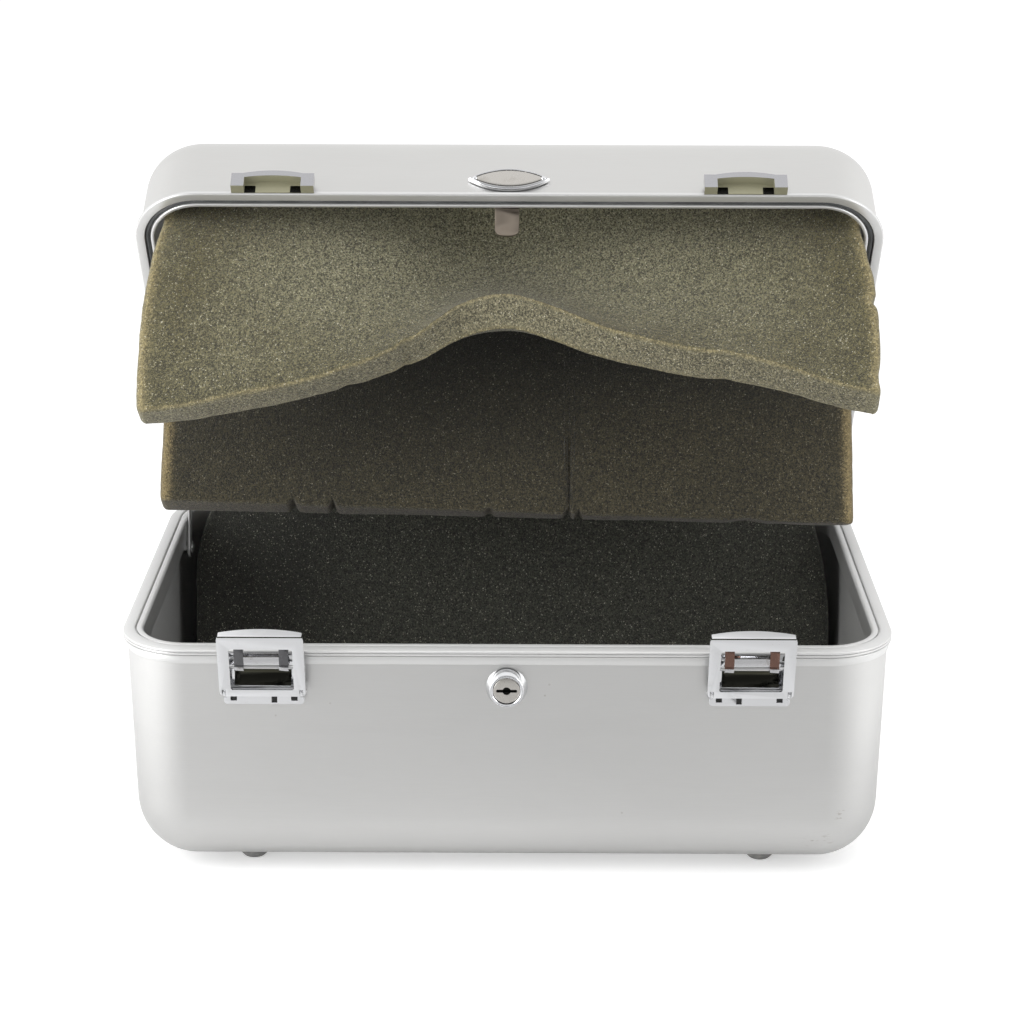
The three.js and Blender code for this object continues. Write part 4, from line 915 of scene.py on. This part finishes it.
plastic_look = Finish("grip_plastic")
plastic_place = plastic_look.place()
rubbed = plastic_look.between(plastic_look.cloud(plastic_place, 45, 3), 0.45, 0.7)
grip_plastic = plastic_look.done(
    Base_Color=plastic_look.blend(rubbed * 0.5, (0.018, 0.018, 0.019, 1), (0.04, 0.04, 0.041, 1)),
    Roughness=0.5 - 0.12 * rubbed,
    Normal=plastic_look.bump(plastic_look.cells(plastic_place, 1100), 0.00012, 0.7),
)
grip_half, grip_deep, grip_thick, grip_corner, finger_dip = 40, 14, 12, 4.6, 1.4
grip_steps, rounded_share, unwaved_share = 64, 0.06, 0.15
grip_rings = []
for k in range(grip_steps + 1):
    share = 2 * k / grip_steps - 1
    to_end = 1 - abs(share)
    full = min(1, to_end / rounded_share)
    swell = math.sqrt(max(0.0, 1 - (1 - full) ** 2)) * 0.25 + 0.75
    wave = 0.5 * (1 - math.cos(4 * math.pi * (share + 1))) * min(1, to_end / unwaved_share)
    thick = grip_thick - finger_dip * wave
    outline = round_box(grip_deep * swell, thick * swell, grip_corner * swell)
    grip_rings.append([(grip_half * share, handle_reach + a, b) for a, b in outline])
set_piece(
    "handle_grip_moulding", *loft(grip_rings),
    on_handle, "handle", "grip_plastic", grip_plastic, ["handle_grip"],
)


# Foam slabs. Open-cell polyurethane cut from sheet with a hot wire, pushed loose into the lid and
# the base, and bowed where they outgrow them. Age has browned the cut edges.
foam_thickness, foam_edge = 21, 3.2
whole_height = base_height + lid_height
rim_reach, side_gap = 12, 0.6


def smooth(table):
    """A smooth curve through a table, from a share of its length."""

    def at(share):
        place = (len(table) - 1) * share
        k = min(int(place), len(table) - 2)
        t = place - k
        p0, p1 = table[max(k - 1, 0)], table[k]
        p2, p3 = table[k + 1], table[min(k + 2, len(table) - 1)]
        point = []
        for a, b, c, d in zip(p0, p1, p2, p3):
            u, v = (c - a) / 2, (d - b) / 2
            point.append(
                (2 * b - 2 * c + u + v) * t**3 + (3 * c - 3 * b - 2 * u - v) * t * t + u * t + b
            )
        return point

    return at


def foam_face(table):
    """The line of a slab's face, seen from the side, through shares of the case's depth and
    height."""
    curve = smooth(table)

    def at(share):
        y, z = curve(share)
        return y * case_depth, z * whole_height

    return at


def half_inside(inset, y):
    """Half the width inside the drawn-in plan of the case, at a place in Y."""
    radius = max(rim_corner - inset, least_corner)
    short = max(0, radius - (min(y, case_depth - y) - inset))
    return case_width / 2 - inset - radius + math.sqrt(max(0, radius * radius - short * short))


def inside_inset(away, height, edge, inset, draft):
    """How far the inside of a pan is drawn in, at a distance from the parting line."""
    section = pan_section(0, height - shell_wall, edge - shell_wall, inset + shell_wall, draft)
    for (a, low), (b, high) in zip(section, section[1:]):
        if away <= high:
            return max(rim_reach, a + (b - a) * (away - low) / max(high - low, 1e-6))
    return section[-1][0]


def swinging_room(near, far):
    """Half the room for a slab in the lid. Below the rim it springs out wider, by one measure
    just under it and by another at its foot."""
    just_under, at_foot = 25, 115

    def room(y, z):
        passing = hinge_y - math.hypot(hinge_y - y, z)
        away = min(max(0, z), lid_height - 2)
        inset = inside_inset(away, lid_height, lid_edge, lid_inset, lid_draft)
        below = max(0, -z)
        sprung = near * min(1, below / just_under) + (far - near) * min(1, below / at_foot)
        return half_inside(inset, y if z > 0 else min(y, passing)) - side_gap + sprung

    return room


def standing_room(y, z):
    """Half the room for a slab in the base."""
    away = min(max(0, -z), base_height - 3)
    inset = inside_inset(away, base_height, base_edge, base_inset, base_draft)
    return half_inside(inset, y) - side_gap


def foam_finish(name, colour, low, edge, cut, dark, glint_strength):
    """Open cells under a millimetre across: dark pores between bright ribs, with a few cells painted
    pale as glints. Where it is marked, the foam goes from its first colour to a low one, a painted
    shade with some browning, and it is brown along its edges."""
    look = Finish(name)
    place = look.place()
    ribs = look.between(look.cells(place, 900), 0.1, 0.6)
    shreds = look.grains(place, 1100)
    crumbs = look.grains(place, 1900)
    lit = look.between(0.55 * shreds + 0.45 * crumbs, 0.22, 0.78)
    blotch = look.between(look.cloud(place, 11, 3), 0.3, 0.75)
    browned, opened, lower = (look.marked(part) for part in ("browned", "opened", "lower"))
    # Painted shade with some browning: where marked, the colour goes over to the low colour.
    toned = look.blend(lower * (0.75 + 0.35 * blotch), colour, low)
    toned = look.blend(look.between(browned * (0.7 + 0.5 * shreds), 0.15, 0.9) * 0.9, toned, edge)
    toned = look.blend(opened, toned, cut)
    shown = 0.06 + lit * (0.6 + 0.34 * ribs)
    toned = look.blend(shown + browned * 0.55 * (1 - shown), dark, toned)
    # Painted glints: a few cells are painted pale, as highlights on the ribs.
    glint = look.between(crumbs, 0.78, 0.92) * look.between(shreds, 0.5, 0.75)
    toned = look.blend(glint * glint_strength, toned, (0.6, 0.57, 0.46, 1))
    return look.done(
        Base_Color=toned,
        Roughness=0.88,
        Sheen_Weight=0.15,
        Normal=look.bump(ribs + 0.8 * shreds, 0.0007, 0.8),
    )


def hump(away, wide):
    """One at no distance, and falling off smoothly over a width."""
    return math.exp(-((away / wide) ** 2))


def half_section(ease, rows):
    """Half of a slab's outline seen edge-on, as pairs of share along it and depth in it."""
    turns = [math.radians(a) for a in (90, 60, 30)]
    soft = foam_edge
    half = [(0.0, foam_thickness / 2)]
    half += [(ease - ease * math.sin(t), soft - soft * math.cos(t)) for t in turns]
    half += [(ease + (1 - 2 * ease) * k / rows, 0.0) for k in range(rows + 1)]
    half += [(1 - ease + ease * math.sin(t), soft - soft * math.cos(t)) for t in turns[::-1]]
    half.append((1.0, foam_thickness / 2))
    return half


def foam_slab(
    name, face, room, columns, rows, body, finish, node, slot,
    nicks=(), tears=(), least=None, brown=(1, 1), foot=None, slit=None, age_and_shade=(0, 0),
):
    """A sheet bent to a face, with softly rounded edges. It has small nicks along its foot, tears
    down its right side and a slit, each with a place, a depth and a width. It is browned at its
    sides and foot by two shares, its outer top corners on the left and right are painted darker
    as shade by two more, and its foot, where given, reaches further down by a measure for the face
    and another for the back. Towards its foot, its right and its sides it takes the low colour, a
    painted shade with some browning."""
    thick, soft = foam_thickness, foam_edge
    steps = 40
    marks = [Vector(face(0, k / steps)) for k in range(steps + 1)]
    length = sum((b - a).length for a, b in zip(marks, marks[1:]))
    half_loop = half_section(soft / length, rows)
    loop = half_loop + [(v, thick - w) for v, w in half_loop[-2:0:-1]]
    nick_start, foot_start = 0.88, 0.7
    brown_side, shade_reach = 8, 22
    # The skin swells in three waves, each with a size and a height.
    waves = ((41, 0.5), (12, 0.3), (4.1, 0.22))

    def point(u, v, w, narrower):
        v = min(max(v, 0.0), 1.0)
        place = Vector(face(u, v))
        before, after = Vector(face(u, max(0, v - 0.01))), Vector(face(u, min(1, v + 0.01)))
        along = (after - before).normalized()
        out = Vector((-along.y, along.x))
        x = u * min(room(*place), room(*(place + out * thick))) - math.copysign(narrower, u)
        if least is not None:
            x = max(x, least)
        for level, deep, wide in tears:
            if x > 0 and abs(u) > 0.9:
                x -= deep * hump((v - level) * length, wide)
        for spot, deep, wide in nicks:
            if v > nick_start:
                share = (v - nick_start) / (1 - nick_start)
                place -= along * deep * hump(x - spot, wide) * share
        if foot is not None and v > foot_start:
            near, far = foot((u + 1) / 2)
            share = (v - foot_start) / (1 - foot_start)
            place += along * (near + (far - near) * w / thick) * share
        if slit is not None and w < thick / 2:
            spot, deep, wide, level = slit
            place += out * deep * hump(x - spot, wide) * (v > level)
        place += out * w
        return (x, place.x, place.y)

    rounding = (90, 60, 30)
    shares = [2 * c / columns - 1 for c in range(columns + 1)]
    for spot, _, wide in list(nicks) + ([slit[:3]] if slit else []):
        shares += [(spot + wide * k / 2) / (case_width / 2 - rim_reach) for k in range(-4, 5)]
    stations = [(-1.0, a) for a in rounding]
    stations += [(u, 0) for u in sorted(shares)]
    stations += [(1.0, a) for a in rounding[::-1]]
    points, rings = [], []
    browned, opened, lower = [], [], []
    for u, angle in stations:
        t = math.radians(angle)
        narrower = soft * (1 - math.sin(t)) if abs(u) >= 1 else 0
        shrink = soft * (1 - math.cos(t))
        to_side = (1 - abs(u)) * case_width / 2
        ring = []
        for v, w in loop:
            w = thick / 2 + (w - thick / 2) * (1 - shrink / (thick / 2))
            v = 0.5 + (v - 0.5) * (1 - 2 * shrink / length)
            ring.append(len(points))
            points.append(point(u, v, w, narrower))
            at_foot = max(hump(w, 2.2), 0.8 * hump(thick - w, 3)) * hump((1 - v) * length, 2.4)
            browned.append(max(brown[0] * hump(to_side, brown_side), brown[1] * at_foot))
            opened.append(min(1, min(w, thick - w) / soft))
            # Painted shade, with some browning: the slab takes the low colour towards its foot, its
            # right, its sides and, by the side shares, its outer top corners.
            side_shade = age_and_shade[u > 0] * u**4 * (1 - v)
            shade_and_browning = v**2.1 + 0.4 * max(u, 0) * v + side_shade
            lower.append(min(1, max(shade_and_browning, math.exp(-to_side / shade_reach))))
        rings.append(ring)
    count, middle = len(loop), len(half_loop) - 1
    faces = [
        (a[k], a[(k + 1) % count], b[(k + 1) % count], b[k])
        for a, b in zip(rings, rings[1:])
        for k in range(count)
    ]
    for ring in (rings[0], rings[-1]):
        for k in range(middle):
            corners = [ring[k], ring[k + 1], ring[-k - 1], ring[-k]]
            faces.append(tuple(dict.fromkeys(corners)))
    place = in_lid if body == "lid" else in_base
    piece = set_piece(name, points, faces, place, body, slot, finish, [node], sharp=80)
    skin = bmesh.new()
    skin.from_mesh(piece.data)
    skin.normal_update()
    for corner in skin.verts:
        spot = corner.co / millimetre
        swell = sum(share * noise.noise(spot / size) for size, share in waves)
        corner.co += corner.normal * swell * millimetre
    skin.to_mesh(piece.data)
    skin.free()
    for part, values in (("browned", browned), ("opened", opened), ("lower", lower)):
        mark(piece, part, "POINT", values)
    return piece


light_foam = foam_finish(
    "light_foam",
    colour=(0.345, 0.329, 0.208, 1), low=(0.14, 0.121, 0.052, 1), edge=(0.4, 0.33, 0.165, 1),
    cut=(0.27, 0.245, 0.15, 1), dark=(0.026, 0.024, 0.014, 1), glint_strength=0.9,
)
# The middle slab is the same foam, painted darker as the shadow of the front slab over it, darkest
# at its top.
shadowed_foam = foam_finish(
    "shadowed_foam",
    colour=(0.016, 0.016, 0.011, 1), low=(0.08, 0.067, 0.034, 1), edge=(0.36, 0.28, 0.135, 1),
    cut=(0.12, 0.1, 0.058, 1), dark=(0.005, 0.005, 0.003, 1), glint_strength=0.3,
)
dark_foam = foam_finish(
    "dark_foam",
    colour=(0.085, 0.087, 0.066, 1), low=(0.035, 0.036, 0.027, 1), edge=(0.09, 0.085, 0.06, 1),
    cut=(0.09, 0.085, 0.06, 1), dark=(0.008, 0.008, 0.006, 1), glint_strength=0.7,
)

front_side = foam_face(
    [(0.083, 0.253), (0.083, -0.095), (0.104, -0.268), (0.132, -0.41), (0.167, -0.576)]
)
bowed_table = [(0.201, 0.253), (0.229, 0.143), (0.236, 0.024)]
bowed_table += [(0.215, -0.086), (0.17, -0.177), (0.115, -0.235)]
front_middle = foam_face(bowed_table)
# How far the slab has risen from its sides to its middle, in hundredths from left to right.
arch_shares = (0, 5, 14, 21, 30, 43, 63, 91, 100, 88, 70, 59, 51.5, 46.5, 36, 23.5, 16)
arch = smooth([(k, share / 100) for k, share in enumerate(arch_shares)])


def front_face(u, v):
    risen = arch((u + 1) / 2)[1]
    a, b = front_side(v), front_middle(v)
    return a[0] + (b[0] - a[0]) * risen, a[1] + (b[1] - a[1]) * risen


foot_table = [(7.1, 7.1), (7.4, 8.4), (6.1, 4), (3.7, -1.4), (0, -1.8), (0, -2)]
foot_table += [(2.7, 3.7), (3.4, 5.7), (4.7, 8.8)]
# The front slab's outer top corners are painted darker, as shade, by its side shares.
front_slab = foam_slab(
    "front_foam_slab", front_face, swinging_room(3.6, 9.5), columns=120, rows=70,
    body="lid", finish=light_foam, node="foam_front", slot="light_foam",
    nicks=[(-96, 1.8, 5), (-62, 2.6, 3), (-30, 1.5, 4), (128, 1.6, 6)],
    tears=[(0.3, 1.2, 5), (0.52, 2.6, 3.5), (0.9, 1.5, 6)],
    brown=(0.85, 1), age_and_shade=(2.4, 1.9), foot=smooth(foot_table),
)
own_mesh(front_slab)

middle_table = foam_face(
    [(0.375, 0.253), (0.41, 0.048), (0.451, -0.12), (0.503, -0.263), (0.594, -0.517)]
)


def middle_face(u, v):
    """The slab hangs askew, further back at its right foot."""
    y, z = middle_table(v)
    return y + u * v * v * 0.04 * case_depth, z


middle_nicks = [(-135, 3.6, 2), (-110, 4.4, 1.8), (-12, 2.4, 2.6)]
middle_nicks += [(37, 4, 2), (44, 3, 1.6), (150, 1.5, 8)]
middle_slab = foam_slab(
    "middle_foam_slab", middle_face, swinging_room(1.2, 1.8), columns=110, rows=70,
    body="lid", finish=shadowed_foam, node="foam_middle", slot="light_foam",
    nicks=middle_nicks, brown=(1, 0.4), slit=(38, 2.6, 1.5, 0.8),
)
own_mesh(middle_slab)

rear_y, rear_top, rear_lean, rear_bow = case_depth - 37, 5, 0.3, 2.5
rear_tilt = rear_lean / math.hypot(1, rear_lean)
rear_foot = shell_wall + seat_gap - base_height + foam_thickness * rear_tilt
clear_of_stay = -211.1


def rear_face(u, v):
    z = rear_top + (rear_foot - rear_top) * math.sin(v * math.pi / 2)
    return rear_y + rear_lean * z - rear_bow * (1 - u * u), z


# The rear slab's left is painted darker, as shade, by its first side share.
foam_slab(
    "rear_foam_slab", rear_face, standing_room, columns=90, rows=60,
    body="base", finish=dark_foam, node="foam_rear", slot="dark_foam",
    least=clear_of_stay, brown=(0, 0), age_and_shade=(6, 0),
)
